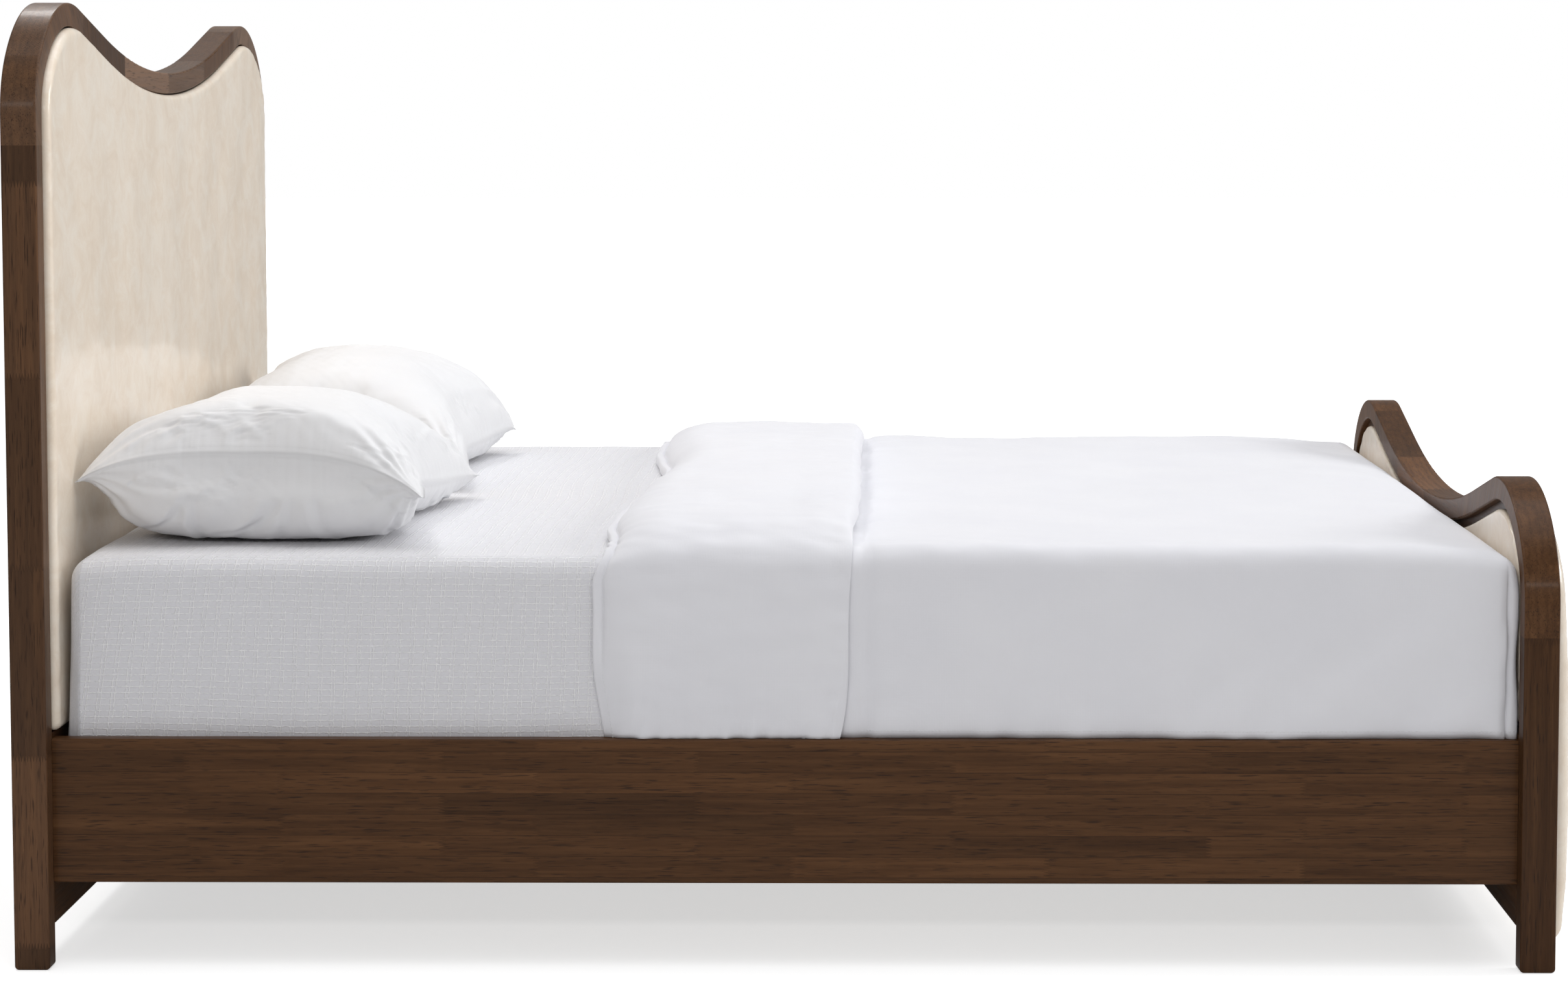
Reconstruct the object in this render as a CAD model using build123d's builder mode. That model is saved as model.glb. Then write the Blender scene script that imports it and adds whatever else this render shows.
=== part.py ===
from build123d import *

import os
from math import radians, sin

# A double bed whose headboard and footboard rise to an ear near each side and dip between.
# X runs from the headboard to the footboard, Y across the bed and Z up, in millimetres.
# The origin is on the floor, under the middle of the bed. Left is the -Y side.

os.makedirs("parts", exist_ok=True)

# ---- mattress, and the room that the frame leaves round it ----
mattress_length = 2032
mattress_width = 1524
mattress_thickness = 305
mattress_corner = 36  # radius of its upright corners
mattress_edge = 34  # radius of its top and bottom edges
mattress_head_gap = 24
mattress_foot_gap = 9
mattress_side_gap = 6

# ---- head and foot rims ----
frame_depth = 50
stile = 34  # width of the rim's face
rail_setback = 28  # from the rim's side to the side rail's outer face
rail_thickness = 24
edge_round = 3
foot_round = 6
head_side_height = 1200  # where the headboard's sides start to curve
foot_side_height = 515
shoulder_radius = 130
shoulder_turn = 40  # degrees turned before the ear's wider arc
ear_radius = 220
dip_slope = 13.5  # degrees below level on the way down to the dip
slope_run = 165
post_joint_drop = 41  # glue joint under the start of the curve
ear_reach = 275  # from the rim's side to the ear's glue joint
shoulder_reach = 255

# ---- lower rails, boards and pads ----
lower_rail_bottom = 60
lower_rail_height = 271
lower_rail_depth = 30
pad_seat = 12  # from the rim's face back to the board that carries the pad
head_board_thickness = 12
foot_board_thickness = 9
foot_board_bottom = 34
back_panel_thickness = 6
back_panel_recess = 2
batten_width = 60
head_batten_count = 4
foot_batten_count = 2
pad_gap = 2  # round the headboard's pad and the footboard's outer pad
groove_width = 14  # round the footboard's inner pad
head_pad_proud = 10
inner_pad_recess = 2
outer_pad_proud = 26
leather = 1.6
head_pad_round = 9
inner_pad_round = 5
outer_pad_round = 22
pad_corner = 12

# ---- side rails and slats ----
rail_top = 324
rail_height = 205
rail_end_gap = 0.3
deck_height = 268  # top of the slats
slat_thickness = 20
slat_width = 70
slats_per_end = 7
slat_inset = 60  # from a rim's face to the middle of the first slat
slat_end_gap = 2
slat_round = 2
ledge_width = 22
ledge_height = 30
ledge_end_gap = 20

# ---- centre beam, legs and levelling feet ----
beam_width = 40
beam_height = 60
beam_end_gap = 1
hanger_steel = 3
hanger_reach = 40
hanger_ear = 14
hanger_lip = 40
leg_size = 40
leg_spacing = 620
levelling_travel = 12
leg_gap = 2  # between a leg and its levelling foot when that is fully up
foot_disc_radius = 19
foot_disc_height = 8
foot_disc_round = 2
foot_stem_radius = 4
foot_stem_length = 42
insert_radius = 6
insert_length = 15
stud_radius = 4
stud_length = 56

# ---- fasteners ----
dowel_radius = 5
dowel_length = 46
dowel_in_post = 22
dowel_depth = 18  # from the rim's face
dowel_margin = 40
dowels_per_joint = 3
screw_head_radius = 3.5
screw_head_height = 2
screw_shank_radius = 1.8
bracket_screw_length = 22
ledge_screw_length = 36
slat_screw_length = 32
plate_steel = 2.5
plate_height = 124
plate_margin = 1
plate_screw_inset = 8
hook_levels = (-28, 14)  # where each hook bears, from the middle of its plate
hook_thickness = 3
hook_shank = 12
hook_tooth = 12
hook_reach = 6

# ---- bedding ----
coverlet_thickness = 5
coverlet_tuck = 24  # how far it hangs below the top of the side rails
duvet_thickness = 18
duvet_foot_thickness = 5
duvet_start = 746  # bare coverlet, from the mattress's head end to the duvet
duvet_edge = 46  # radius of its top edges
fold_width = 363
fold_rise = 16
fold_bulge = 5
pillow_length = 500
pillow_width = 650
pillow_height = 208
pillow_spacing = 710
pillow_shift = 20  # both pillows lie this far to the left of the middle
pillow_corner = 0.1  # corner radius, as a share of each section's length
pillow_sections = ((0, 0.52), (0.16, 0.84), (0.42, 1), (0.70, 0.84), (0.90, 0.54), (1, 0.26))

# ---- clearances ----
cut_past = 1  # how far a cut runs past the face that it opens
soft_gap = 0.3  # beside a soft piece
rail_gap = 0.5  # under the duvet's sides
panel_gap = 0.3  # round a board in its rim
hole_play = 0.05  # round a dowel, a screw or a stud
thread_play = 0.1  # round a levelling foot's stem
hook_play = 0.5  # each side of a hook

# ---- places that follow from the sizes ----
rail_inner = mattress_width / 2 + mattress_side_gap
bed_width = 2 * (rail_inner + rail_thickness + rail_setback)
inner_length = mattress_length + mattress_head_gap + mattress_foot_gap
overall_length = inner_length + 2 * frame_depth + outer_pad_proud
head_x = -overall_length / 2 + frame_depth
foot_x = head_x + inner_length
mid_x = (head_x + foot_x) / 2
head_face = Plane(origin=(head_x, 0, 0), x_dir=(0, 1, 0), z_dir=(1, 0, 0))
foot_face = Plane(origin=(foot_x, 0, 0), x_dir=(0, -1, 0), z_dir=(-1, 0, 0))
mid_plane = Plane.YZ.offset(mid_x)

lower_rail_top = lower_rail_bottom + lower_rail_height
lower_rail_half = bed_width / 2 - stile
rail_middle = rail_top - rail_height / 2
ledge_top = deck_height - slat_thickness
ledge_middle = ledge_top - ledge_height / 2
beam_bottom = ledge_top - beam_height
leg_bottom = foot_disc_height + levelling_travel + leg_gap
mattress_top = deck_height + mattress_thickness
mattress_start = head_x + mattress_head_gap
mattress_end = mattress_start + mattress_length

plate_width = lower_rail_half - rail_inner - 2 * plate_margin
plate_y = -(rail_inner + lower_rail_half) / 2
plate_screw_rise = plate_height / 2 - plate_screw_inset
hanger_screw_y = beam_width / 2 + hanger_steel + hanger_ear / 2
slat_xs = [
    head_x + slat_inset + (inner_length - 2 * slat_inset) * place / (2 * slats_per_end - 1)
    for place in range(2 * slats_per_end)
]

# Places of screws, each a plane whose normal points out of the screw's head.
plate_screw_zs = (rail_middle - plate_screw_rise, rail_middle + plate_screw_rise)
hook_screws = [
    Plane(origin=(head_x + rail_end_gap, plate_y, z), z_dir=(-1, 0, 0)) for z in plate_screw_zs
]
receiver_screws = [Plane(origin=(head_x, plate_y, z), z_dir=(1, 0, 0)) for z in plate_screw_zs]
hanger_screws = [
    Plane(
        origin=(head_x + hanger_steel, -hanger_screw_y, beam_bottom + hanger_lip / 2),
        z_dir=(1, 0, 0),
    )
]
ledge_screws = [
    Plane(origin=((x + next_x) / 2, -rail_inner + ledge_width, ledge_middle), z_dir=(0, 1, 0))
    for x, next_x in zip(slat_xs[::2], slat_xs[1::2])
]
slat_screws = [
    Plane(origin=(x, -rail_inner + ledge_width / 2, deck_height), z_dir=(0, 0, 1))
    for x in slat_xs
]


def save(piece, name):
    """Labels a finished piece and writes it."""
    piece.part.label = name
    export_step(piece.part, f"parts/{name}.step")


def save_pair(left, name):
    """Writes a left-hand piece, and its mirror image on the right."""
    save(left, f"{name}_left")
    with BuildPart() as right:
        mirror(left.part, about=Plane.XZ)
    save(right, f"{name}_right")


def spread(count, low, high):
    """Even places from low to high, both included."""
    return [low + (high - low) * place / (count - 1) for place in range(count)]


def with_images(part, ends=True):
    """A left-hand part with its image on the right, and both again at the foot end."""
    with BuildPart() as whole:
        add(part)
        mirror(about=Plane.XZ)
        if ends:
            mirror(about=mid_plane)
    return whole.part


def wood_screws(places, length, play=0.0):
    """Countersunk screws at these planes, flush with them, grown all round by play."""
    with BuildPart() as screw:
        with BuildSketch(Plane.XZ):
            Polygon(
                (0, 0),
                (screw_head_radius + play, 0),
                (screw_shank_radius + play, -screw_head_height - play),
                (screw_shank_radius + play, -length - play),
                (0, -length - play),
                align=None,
            )
        revolve(axis=Axis.Z)
    with BuildPart() as screws:
        with Locations(*places):
            add(screw.part)
    return screws.part


def draw_rim(side_height, inset, base, mode=Mode.ADD):
    """Draws the area under the eared outline, inset from the rim's edge, down to base."""
    half = bed_width / 2 - inset
    with BuildLine() as outline:
        side = Line((-half, base), (-half, side_height))
        shoulder = JernArc(side @ 1, side % 1, shoulder_radius - inset, -shoulder_turn)
        ear_turn = 90 - shoulder_turn + dip_slope
        ear = JernArc(shoulder @ 1, shoulder % 1, ear_radius - inset, -ear_turn)
        slope = Line(ear @ 1, ear @ 1 + (ear % 1) * slope_run)
        dip_radius = -(slope @ 1).X / sin(radians(dip_slope))
        JernArc(slope @ 1, slope % 1, dip_radius, dip_slope)
        mirror(about=Plane.YZ)
        Line((-half, base), (half, base))
    make_face(outline.edges(), mode=mode)


def dowel_row(face, reach, length, radius):
    """Cylinders across the bed at a lower rail's dowels, that far either side of its middle."""
    heights = spread(
        dowels_per_joint, lower_rail_bottom + dowel_margin, lower_rail_top - dowel_margin
    )
    depth = face.from_local_coords((0, 0, -dowel_depth)).X
    with BuildPart() as row:
        with Locations(*[(depth, side * reach, z) for side in (-1, 1) for z in heights]):
            Cylinder(radius, length, rotation=(90, 0, 0))
    return row.part


def make_rim(prefix, face, side_height):
    """The seven glued pieces of a rim: two posts, two ears, two shoulders and the crest."""
    with BuildPart() as rim:
        with BuildSketch(face):
            draw_rim(side_height, 0, 0)
            draw_rim(side_height, stile, -stile, Mode.SUBTRACT)
        extrude(amount=-frame_depth)
        fillet(rim.edges().filter_by_position(Axis.Z, -1, 1).filter_by(Axis.Y), radius=foot_round)
        faces = rim.faces().filter_by(Axis.X).group_by(Axis.X)
        outlines = faces[0].edges() + faces[-1].edges()
        fillet(outlines.filter_by(Axis.Y, reverse=True), radius=edge_round)
        hole = dowel_in_post + 2 * hole_play
        add(
            dowel_row(face, lower_rail_half + dowel_in_post / 2, hole, dowel_radius + hole_play),
            mode=Mode.SUBTRACT,
        )
    post_joint = Plane.XY.offset(side_height - post_joint_drop)
    ear_joint = Plane.XZ.offset(bed_width / 2 - ear_reach)
    crest_half = bed_width / 2 - ear_reach - shoulder_reach
    with BuildPart() as post:
        add(rim.part)
        split(bisect_by=post_joint, keep=Keep.BOTTOM)
        split(bisect_by=Plane.XZ, keep=Keep.TOP)
    save_pair(post, f"{prefix}_post")
    with BuildPart() as ear:
        add(rim.part)
        split(bisect_by=post_joint, keep=Keep.TOP)
        split(bisect_by=ear_joint, keep=Keep.TOP)
    save_pair(ear, f"{prefix}_ear")
    with BuildPart() as shoulder:
        add(rim.part)
        split(bisect_by=post_joint, keep=Keep.TOP)
        split(bisect_by=ear_joint, keep=Keep.BOTTOM)
        split(bisect_by=Plane.XZ.offset(crest_half), keep=Keep.TOP)
    save_pair(shoulder, f"{prefix}_shoulder")
    with BuildPart() as crest:
        add(rim.part)
        split(bisect_by=post_joint, keep=Keep.TOP)
        split(bisect_by=Plane.XZ.offset(crest_half), keep=Keep.BOTTOM)
        split(bisect_by=Plane.XZ.offset(-crest_half), keep=Keep.TOP)
    save(crest, f"{prefix}_crest")


def make_lower_rail(prefix, face, cuts):
    """The board between a rim's posts, less its fittings' cuts, and the dowels that hold it."""
    in_rail = dowel_length - dowel_in_post
    with BuildPart() as rail:
        with BuildSketch(face):
            with Locations((0, lower_rail_bottom)):
                Rectangle(
                    2 * lower_rail_half, lower_rail_height, align=(Align.CENTER, Align.MIN)
                )
        extrude(amount=-lower_rail_depth)
        hole = in_rail + 2 * hole_play
        add(
            dowel_row(face, lower_rail_half - in_rail / 2, hole, dowel_radius + hole_play),
            mode=Mode.SUBTRACT,
        )
        add(cuts, mode=Mode.SUBTRACT)
    save(rail, f"{prefix}_lower_rail")
    with BuildPart() as dowels:
        middle = lower_rail_half + dowel_in_post - dowel_length / 2
        add(dowel_row(face, middle, dowel_length, dowel_radius))
    save(dowels, f"{prefix}_dowels")


def make_panel(name, face, side_height, front, thickness, base):
    """A board that fills the rim from base up, that far behind the rim's face."""
    with BuildPart() as board:
        with BuildSketch(face.offset(-front)):
            draw_rim(side_height, stile + panel_gap, base)
        extrude(amount=-thickness)
    save(board, name)


def make_battens(prefix, face, front, thickness, count, top):
    """Level battens between the posts, on the back of a board."""
    levels = spread(count, lower_rail_top + batten_width / 2, top - batten_width / 2)
    with BuildPart() as battens:
        with BuildSketch(face.offset(-front)):
            with Locations(*[(0, level) for level in levels]):
                Rectangle(2 * (lower_rail_half - panel_gap), batten_width)
        extrude(amount=-thickness)
    save(battens, f"{prefix}_battens")


def pad_block(seat, side_height, inset, base, thickness, rounding, corner):
    """A padded shape standing on a board, its front edge rounded."""
    with BuildPart() as block:
        with BuildSketch(seat) as outline:
            draw_rim(side_height, inset, base)
            fillet(outline.vertices().group_by(Axis.Y)[0], radius=corner)
        extrude(amount=thickness)
        front = block.faces().sort_by(Axis(seat.origin, seat.z_dir))[-1]
        fillet(front.edges(), radius=rounding)
    return block.part


def make_pad(prefix, seat, side_height, inset, base, thickness, rounding):
    """A foam pad, and its leather cover that wraps its front and sides."""
    with BuildPart() as foam:
        add(
            pad_block(
                seat,
                side_height,
                inset + leather,
                base + leather,
                thickness - leather,
                rounding - leather,
                pad_corner - leather,
            )
        )
    save(foam, f"{prefix}_foam")
    with BuildPart() as cover:
        add(pad_block(seat, side_height, inset, base, thickness, rounding, pad_corner))
        add(foam.part, mode=Mode.SUBTRACT)
    save(cover, f"{prefix}_cover")


# ---- fittings of the head end's left corner ----
hook_profile = [
    (rail_end_gap, 0),
    (-plate_steel - hook_play, 0),
    (-plate_steel - hook_play, -hook_tooth / 2),
    (-plate_steel - hook_play - hook_reach / 4, -hook_tooth),
    (-plate_steel - hook_play - hook_reach, -hook_tooth),
    (-plate_steel - hook_play - hook_reach, hook_shank),
    (rail_end_gap, hook_shank),
]
slot_height = hook_shank + hook_tooth + 2 * hook_play
slot_width = hook_thickness + 2 * hook_play

with BuildPart() as hook_plate:
    with Locations((head_x + rail_end_gap + plate_steel / 2, plate_y, rail_middle)):
        Box(plate_steel, plate_width, plate_height)
    for level in hook_levels:
        seat = (head_x, plate_y, rail_middle + level)
        with BuildSketch(Plane(origin=seat, x_dir=(1, 0, 0), z_dir=(0, -1, 0))):
            Polygon(*hook_profile, align=None)
        extrude(amount=hook_thickness / 2, both=True)
    add(wood_screws(hook_screws, bracket_screw_length, hole_play), mode=Mode.SUBTRACT)

with BuildPart() as receiver_plate:
    with Locations((head_x - plate_steel / 2, plate_y, rail_middle)):
        Box(plate_steel, plate_width, plate_height)
    for level in hook_levels:
        slot_middle = rail_middle + level + slot_height / 2
        with Locations((head_x - plate_steel / 2, plate_y, slot_middle)):
            Box(plate_steel, slot_width, slot_height, mode=Mode.SUBTRACT)
    add(wood_screws(receiver_screws, bracket_screw_length, hole_play), mode=Mode.SUBTRACT)

with BuildPart() as receiver_cut:
    with Locations((head_x - plate_steel / 2, plate_y, rail_middle)):
        Box(plate_steel, plate_width, plate_height)
    pocket_depth = hook_reach + 3 * hook_play
    pocket_height = slot_height + hook_tooth + hook_play
    for level in hook_levels:
        pocket_top = rail_middle + level + slot_height
        pocket_middle = pocket_top - pocket_height / 2
        with Locations((head_x - plate_steel - pocket_depth / 2, plate_y, pocket_middle)):
            Box(pocket_depth, slot_width, pocket_height)
    add(wood_screws(receiver_screws, bracket_screw_length, hole_play))
    add(wood_screws(hanger_screws, bracket_screw_length, hole_play))
lower_rail_cuts = with_images(receiver_cut.part)

with BuildPart() as rail_end_cut:
    with Locations((head_x + rail_end_gap + plate_steel / 2, plate_y, rail_middle)):
        Box(plate_steel, plate_width, plate_height)
    add(wood_screws(hook_screws, bracket_screw_length, hole_play))

with BuildPart() as bracket_screws:
    add(with_images(wood_screws(hook_screws, bracket_screw_length)))
    add(with_images(wood_screws(receiver_screws, bracket_screw_length)))
    add(with_images(wood_screws(hanger_screws, bracket_screw_length)))
save(bracket_screws, "bracket_screws")

with BuildPart() as hook_plates:
    add(with_images(hook_plate.part))
save(hook_plates, "rail_hook_plates")

with BuildPart() as receiver_plates:
    add(with_images(receiver_plate.part))
save(receiver_plates, "rail_receiver_plates")

# ---- headboard ----
head_board_back = pad_seat + head_board_thickness
back_panel_front = frame_depth - back_panel_recess - back_panel_thickness
make_rim("headboard", head_face, head_side_height)
make_lower_rail("headboard", head_face, lower_rail_cuts)
make_panel(
    "headboard_core_board",
    head_face,
    head_side_height,
    pad_seat,
    head_board_thickness,
    lower_rail_top,
)
make_battens(
    "headboard",
    head_face,
    head_board_back,
    back_panel_front - head_board_back,
    head_batten_count,
    head_side_height,
)
make_panel(
    "headboard_back_panel",
    head_face,
    head_side_height,
    back_panel_front,
    back_panel_thickness,
    lower_rail_top,
)
make_pad(
    "headboard",
    head_face.offset(-pad_seat),
    head_side_height,
    stile + pad_gap,
    lower_rail_top + pad_gap,
    pad_seat + head_pad_proud,
    head_pad_round,
)

# ---- footboard ----
foot_board_back = pad_seat + foot_board_thickness
outer_seat = lower_rail_depth + foot_board_thickness
make_rim("footboard", foot_face, foot_side_height)
make_lower_rail("footboard", foot_face, lower_rail_cuts)
make_panel(
    "footboard_inner_board",
    foot_face,
    foot_side_height,
    pad_seat,
    foot_board_thickness,
    lower_rail_top,
)
make_battens(
    "footboard",
    foot_face,
    foot_board_back,
    lower_rail_depth - foot_board_back,
    foot_batten_count,
    foot_side_height,
)
make_panel(
    "footboard_outer_board",
    foot_face,
    foot_side_height,
    lower_rail_depth,
    foot_board_thickness,
    foot_board_bottom,
)
make_pad(
    "footboard_inner",
    foot_face.offset(-pad_seat),
    foot_side_height,
    stile + groove_width,
    lower_rail_top + groove_width,
    pad_seat - inner_pad_recess,
    inner_pad_round,
)
make_pad(
    "footboard_outer",
    Plane(origin=(foot_x + outer_seat, 0, 0), x_dir=(0, 1, 0), z_dir=(1, 0, 0)),
    foot_side_height,
    stile + pad_gap,
    foot_board_bottom + pad_gap,
    frame_depth + outer_pad_proud - outer_seat,
    outer_pad_round,
)

# ---- side rails ----
with BuildPart() as side_rail:
    with Locations((mid_x, -rail_inner - rail_thickness / 2, rail_middle)):
        Box(inner_length - 2 * rail_end_gap, rail_thickness, rail_height)
    fillet(side_rail.edges().filter_by(Axis.X), radius=edge_round)
    add(with_images(rail_end_cut.part), mode=Mode.SUBTRACT)
    add(wood_screws(ledge_screws, ledge_screw_length, hole_play), mode=Mode.SUBTRACT)
save_pair(side_rail, "side_rail")

with BuildPart() as slat_ledge:
    with Locations((mid_x, -rail_inner + ledge_width / 2, ledge_middle)):
        Box(inner_length - 2 * ledge_end_gap, ledge_width, ledge_height)
    add(wood_screws(ledge_screws, ledge_screw_length, hole_play), mode=Mode.SUBTRACT)
    add(wood_screws(slat_screws, slat_screw_length, hole_play), mode=Mode.SUBTRACT)
save_pair(slat_ledge, "slat_ledge")

with BuildPart() as ledge_screw_set:
    add(with_images(wood_screws(ledge_screws, ledge_screw_length), ends=False))
save(ledge_screw_set, "ledge_screws")

# ---- slats ----
with BuildPart() as slat_screw_set:
    add(with_images(wood_screws(slat_screws, slat_screw_length), ends=False))
save(slat_screw_set, "slat_screws")

slat_cuts = with_images(wood_screws(slat_screws, slat_screw_length, hole_play), ends=False)
for end_name, xs in (("head", slat_xs[:slats_per_end]), ("foot", slat_xs[slats_per_end:])):
    with BuildPart() as slats:
        with Locations(*[(x, 0, deck_height - slat_thickness / 2) for x in xs]):
            Box(slat_width, 2 * (rail_inner - slat_end_gap), slat_thickness)
        fillet(slats.edges().filter_by(Axis.Y), radius=slat_round)
        add(slat_cuts, mode=Mode.SUBTRACT)
    save(slats, f"slats_{end_name}_end")

# ---- centre beam, its hangers and legs ----
leg_places = (
    ("head", mid_x - leg_spacing),
    ("middle", mid_x),
    ("foot", mid_x + leg_spacing),
)

with BuildPart() as studs:
    with Locations(*[(x, 0, beam_bottom) for _, x in leg_places]):
        Cylinder(stud_radius, stud_length)
save(studs, "leg_studs")

with BuildPart() as stud_holes:
    with Locations(*[(x, 0, beam_bottom) for _, x in leg_places]):
        Cylinder(stud_radius + hole_play, stud_length + 2 * hole_play)

with BuildPart() as beam:
    with Locations((mid_x, 0, beam_bottom + beam_height / 2)):
        Box(inner_length - 2 * beam_end_gap, beam_width, beam_height)
    fillet(beam.edges().filter_by(Axis.X), radius=slat_round)
    add(stud_holes.part, mode=Mode.SUBTRACT)
save(beam, "center_beam")

with BuildPart() as hanger:
    cradle_width = beam_width + 2 * hanger_steel
    on_seat = (Align.MIN, Align.CENTER, Align.MIN)
    with Locations((head_x, 0, beam_bottom - hanger_steel)):
        Box(hanger_reach, cradle_width, hanger_steel + hanger_lip, align=on_seat)
        Box(hanger_steel, cradle_width + 2 * hanger_ear, hanger_steel + hanger_lip, align=on_seat)
    with Locations((head_x, 0, beam_bottom)):
        Box(hanger_reach, beam_width, hanger_lip, align=on_seat, mode=Mode.SUBTRACT)
    for side in (-1, 1):
        hanger_cut = wood_screws(hanger_screws, bracket_screw_length, hole_play)
        add(hanger_cut if side < 0 else hanger_cut.mirror(Plane.XZ), mode=Mode.SUBTRACT)

with BuildPart() as hangers:
    add(hanger.part)
    mirror(about=mid_plane)
save(hangers, "beam_hangers")

with BuildPart() as inserts:
    with Locations(*[(x, 0, leg_bottom + insert_length / 2) for _, x in leg_places]):
        Cylinder(insert_radius, insert_length)
        Cylinder(foot_stem_radius + thread_play, insert_length, mode=Mode.SUBTRACT)
save(inserts, "leg_thread_inserts")

stem_room = foot_disc_height + foot_stem_length + levelling_travel + leg_gap - leg_bottom
standing = (Align.CENTER, Align.CENTER, Align.MIN)
for name, x in leg_places:
    with BuildPart() as leg:
        with Locations((x, 0, leg_bottom)):
            Box(leg_size, leg_size, beam_bottom - leg_bottom, align=standing)
        fillet(leg.edges().filter_by(Axis.Z), radius=edge_round)
        with Locations((x, 0, leg_bottom)):
            Cylinder(insert_radius, insert_length, align=standing, mode=Mode.SUBTRACT)
            Cylinder(foot_stem_radius + 5 * thread_play, stem_room, align=standing, mode=Mode.SUBTRACT)
        add(stud_holes.part, mode=Mode.SUBTRACT)
    save(leg, f"center_leg_{name}")

    with BuildPart() as levelling_foot:
        with Locations((x, 0, 0)):
            Cylinder(foot_disc_radius, foot_disc_height, align=standing)
        fillet(levelling_foot.edges(), radius=foot_disc_round)
        with Locations((x, 0, foot_disc_height)):
            Cylinder(foot_stem_radius, foot_stem_length, align=standing)
    save(levelling_foot, f"leveling_foot_{name}")


# ---- bedding ----
def bed_block(sides, head, foot, rise, bottom, rounding):
    """The mattress's shape grown sideways, endways and upwards, down to bottom."""
    start = mattress_start - head
    end = mattress_end + foot
    with BuildPart() as block:
        with BuildSketch(Plane.XY.offset(bottom)):
            with Locations(((start + end) / 2, 0)):
                RectangleRounded(
                    end - start, mattress_width + 2 * sides, mattress_corner + min(sides, foot)
                )
        extrude(amount=mattress_top + rise - bottom)
        fillet(block.faces().sort_by(Axis.Z)[-1].edges(), radius=rounding)
    return block.part


with BuildPart() as mattress:
    add(bed_block(0, 0, 0, 0, deck_height + soft_gap, mattress_edge))
    fillet(mattress.faces().sort_by(Axis.Z)[0].edges(), radius=mattress_edge)
save(mattress, "mattress")

coverlet_out = soft_gap + coverlet_thickness
coverlet_bottom = rail_top - coverlet_tuck
with BuildPart() as coverlet:
    outer_edge = mattress_edge + coverlet_out
    inner_edge = mattress_edge + soft_gap
    add(bed_block(coverlet_out, coverlet_out, coverlet_out, coverlet_out, coverlet_bottom, outer_edge))
    add(
        bed_block(soft_gap, soft_gap, soft_gap, soft_gap, coverlet_bottom - cut_past, inner_edge),
        mode=Mode.SUBTRACT,
    )
    split(bisect_by=Plane.YZ.offset(mattress_end - mattress_corner), keep=Keep.BOTTOM)
save(coverlet, "coverlet")

duvet_in = coverlet_out + soft_gap
duvet_out = duvet_in + duvet_thickness
duvet_foot_out = soft_gap + duvet_foot_thickness
duvet_bottom = rail_top + rail_gap
duvet_start_plane = Plane.YZ.offset(mattress_start + duvet_start)
with BuildPart() as duvet:
    add(bed_block(duvet_out, 0, duvet_foot_out, duvet_out, duvet_bottom, duvet_edge))
    with BuildPart(mode=Mode.PRIVATE) as fold:
        fold_out = duvet_out + fold_bulge
        fold_top = duvet_out + fold_rise
        add(bed_block(fold_out, 0, duvet_foot_out, fold_top, duvet_bottom, duvet_edge + fold_bulge))
        split(
            bisect_by=Plane.YZ.offset(mattress_start + duvet_start + fold_width), keep=Keep.BOTTOM
        )
    add(fold.part)
    split(bisect_by=duvet_start_plane, keep=Keep.TOP)
    add(
        bed_block(duvet_in, 0, soft_gap, duvet_in, duvet_bottom - 1, mattress_edge + soft_gap),
        mode=Mode.SUBTRACT,
    )
save(duvet, "duvet")

pillow_bottom = mattress_top + coverlet_out + soft_gap
pillow_x = head_x + head_pad_proud + 2 * soft_gap + pillow_length / 2
for side_name, side in (("left", -1), ("right", 1)):
    with BuildPart() as pillow:
        for share, scale in pillow_sections:
            with BuildSketch(Plane.XY.offset(pillow_bottom + share * pillow_height)):
                with Locations((pillow_x, side * pillow_spacing / 2 - pillow_shift)):
                    length = scale * pillow_length
                    RectangleRounded(length, scale * pillow_width, pillow_corner * length)
        loft()
    save(pillow, f"pillow_{side_name}")
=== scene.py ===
import math

import bmesh
import bpy
import numpy as np
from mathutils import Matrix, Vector


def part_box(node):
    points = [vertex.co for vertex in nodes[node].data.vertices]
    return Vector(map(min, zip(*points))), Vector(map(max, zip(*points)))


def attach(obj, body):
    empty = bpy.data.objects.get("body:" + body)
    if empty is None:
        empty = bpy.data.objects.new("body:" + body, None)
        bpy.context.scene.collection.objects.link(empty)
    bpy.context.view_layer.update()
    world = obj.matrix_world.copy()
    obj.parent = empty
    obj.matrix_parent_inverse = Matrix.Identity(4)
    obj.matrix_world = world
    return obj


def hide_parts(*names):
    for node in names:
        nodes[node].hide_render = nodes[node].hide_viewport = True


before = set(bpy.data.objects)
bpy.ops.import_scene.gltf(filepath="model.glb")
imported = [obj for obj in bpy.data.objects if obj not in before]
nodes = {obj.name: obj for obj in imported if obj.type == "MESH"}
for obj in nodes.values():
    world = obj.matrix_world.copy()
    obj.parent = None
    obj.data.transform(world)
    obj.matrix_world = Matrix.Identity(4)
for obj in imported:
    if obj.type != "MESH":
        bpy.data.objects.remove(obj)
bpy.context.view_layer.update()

# Sizes in metres. X runs from headboard to footboard, Z up, and left is the -Y side.
MAT_LO, MAT_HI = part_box("mattress")
COV_LO, COV_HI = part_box("coverlet")
DUV_LO, DUV_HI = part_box("duvet")
FOOT_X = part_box("footboard_lower_rail")[0].x
BED_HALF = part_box("headboard_post_right")[1].y
STRAIGHT = 0.041             # a shoulder goes on straight this far above its post, then turns
HEAD_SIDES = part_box("headboard_post_left")[1].z + STRAIGHT
FOOT_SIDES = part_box("footboard_post_left")[1].z + STRAIGHT
STILE = 0.034                # width of the wooden rim, seen from the bed's end
SHOULDER_R, SHOULDER_TURN, EAR_R = 0.130, 40, 0.220
DIP_SLOPE, SLOPE_RUN = 13.5, 0.165


# ---------------------------------------------------------------- meshes

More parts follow.
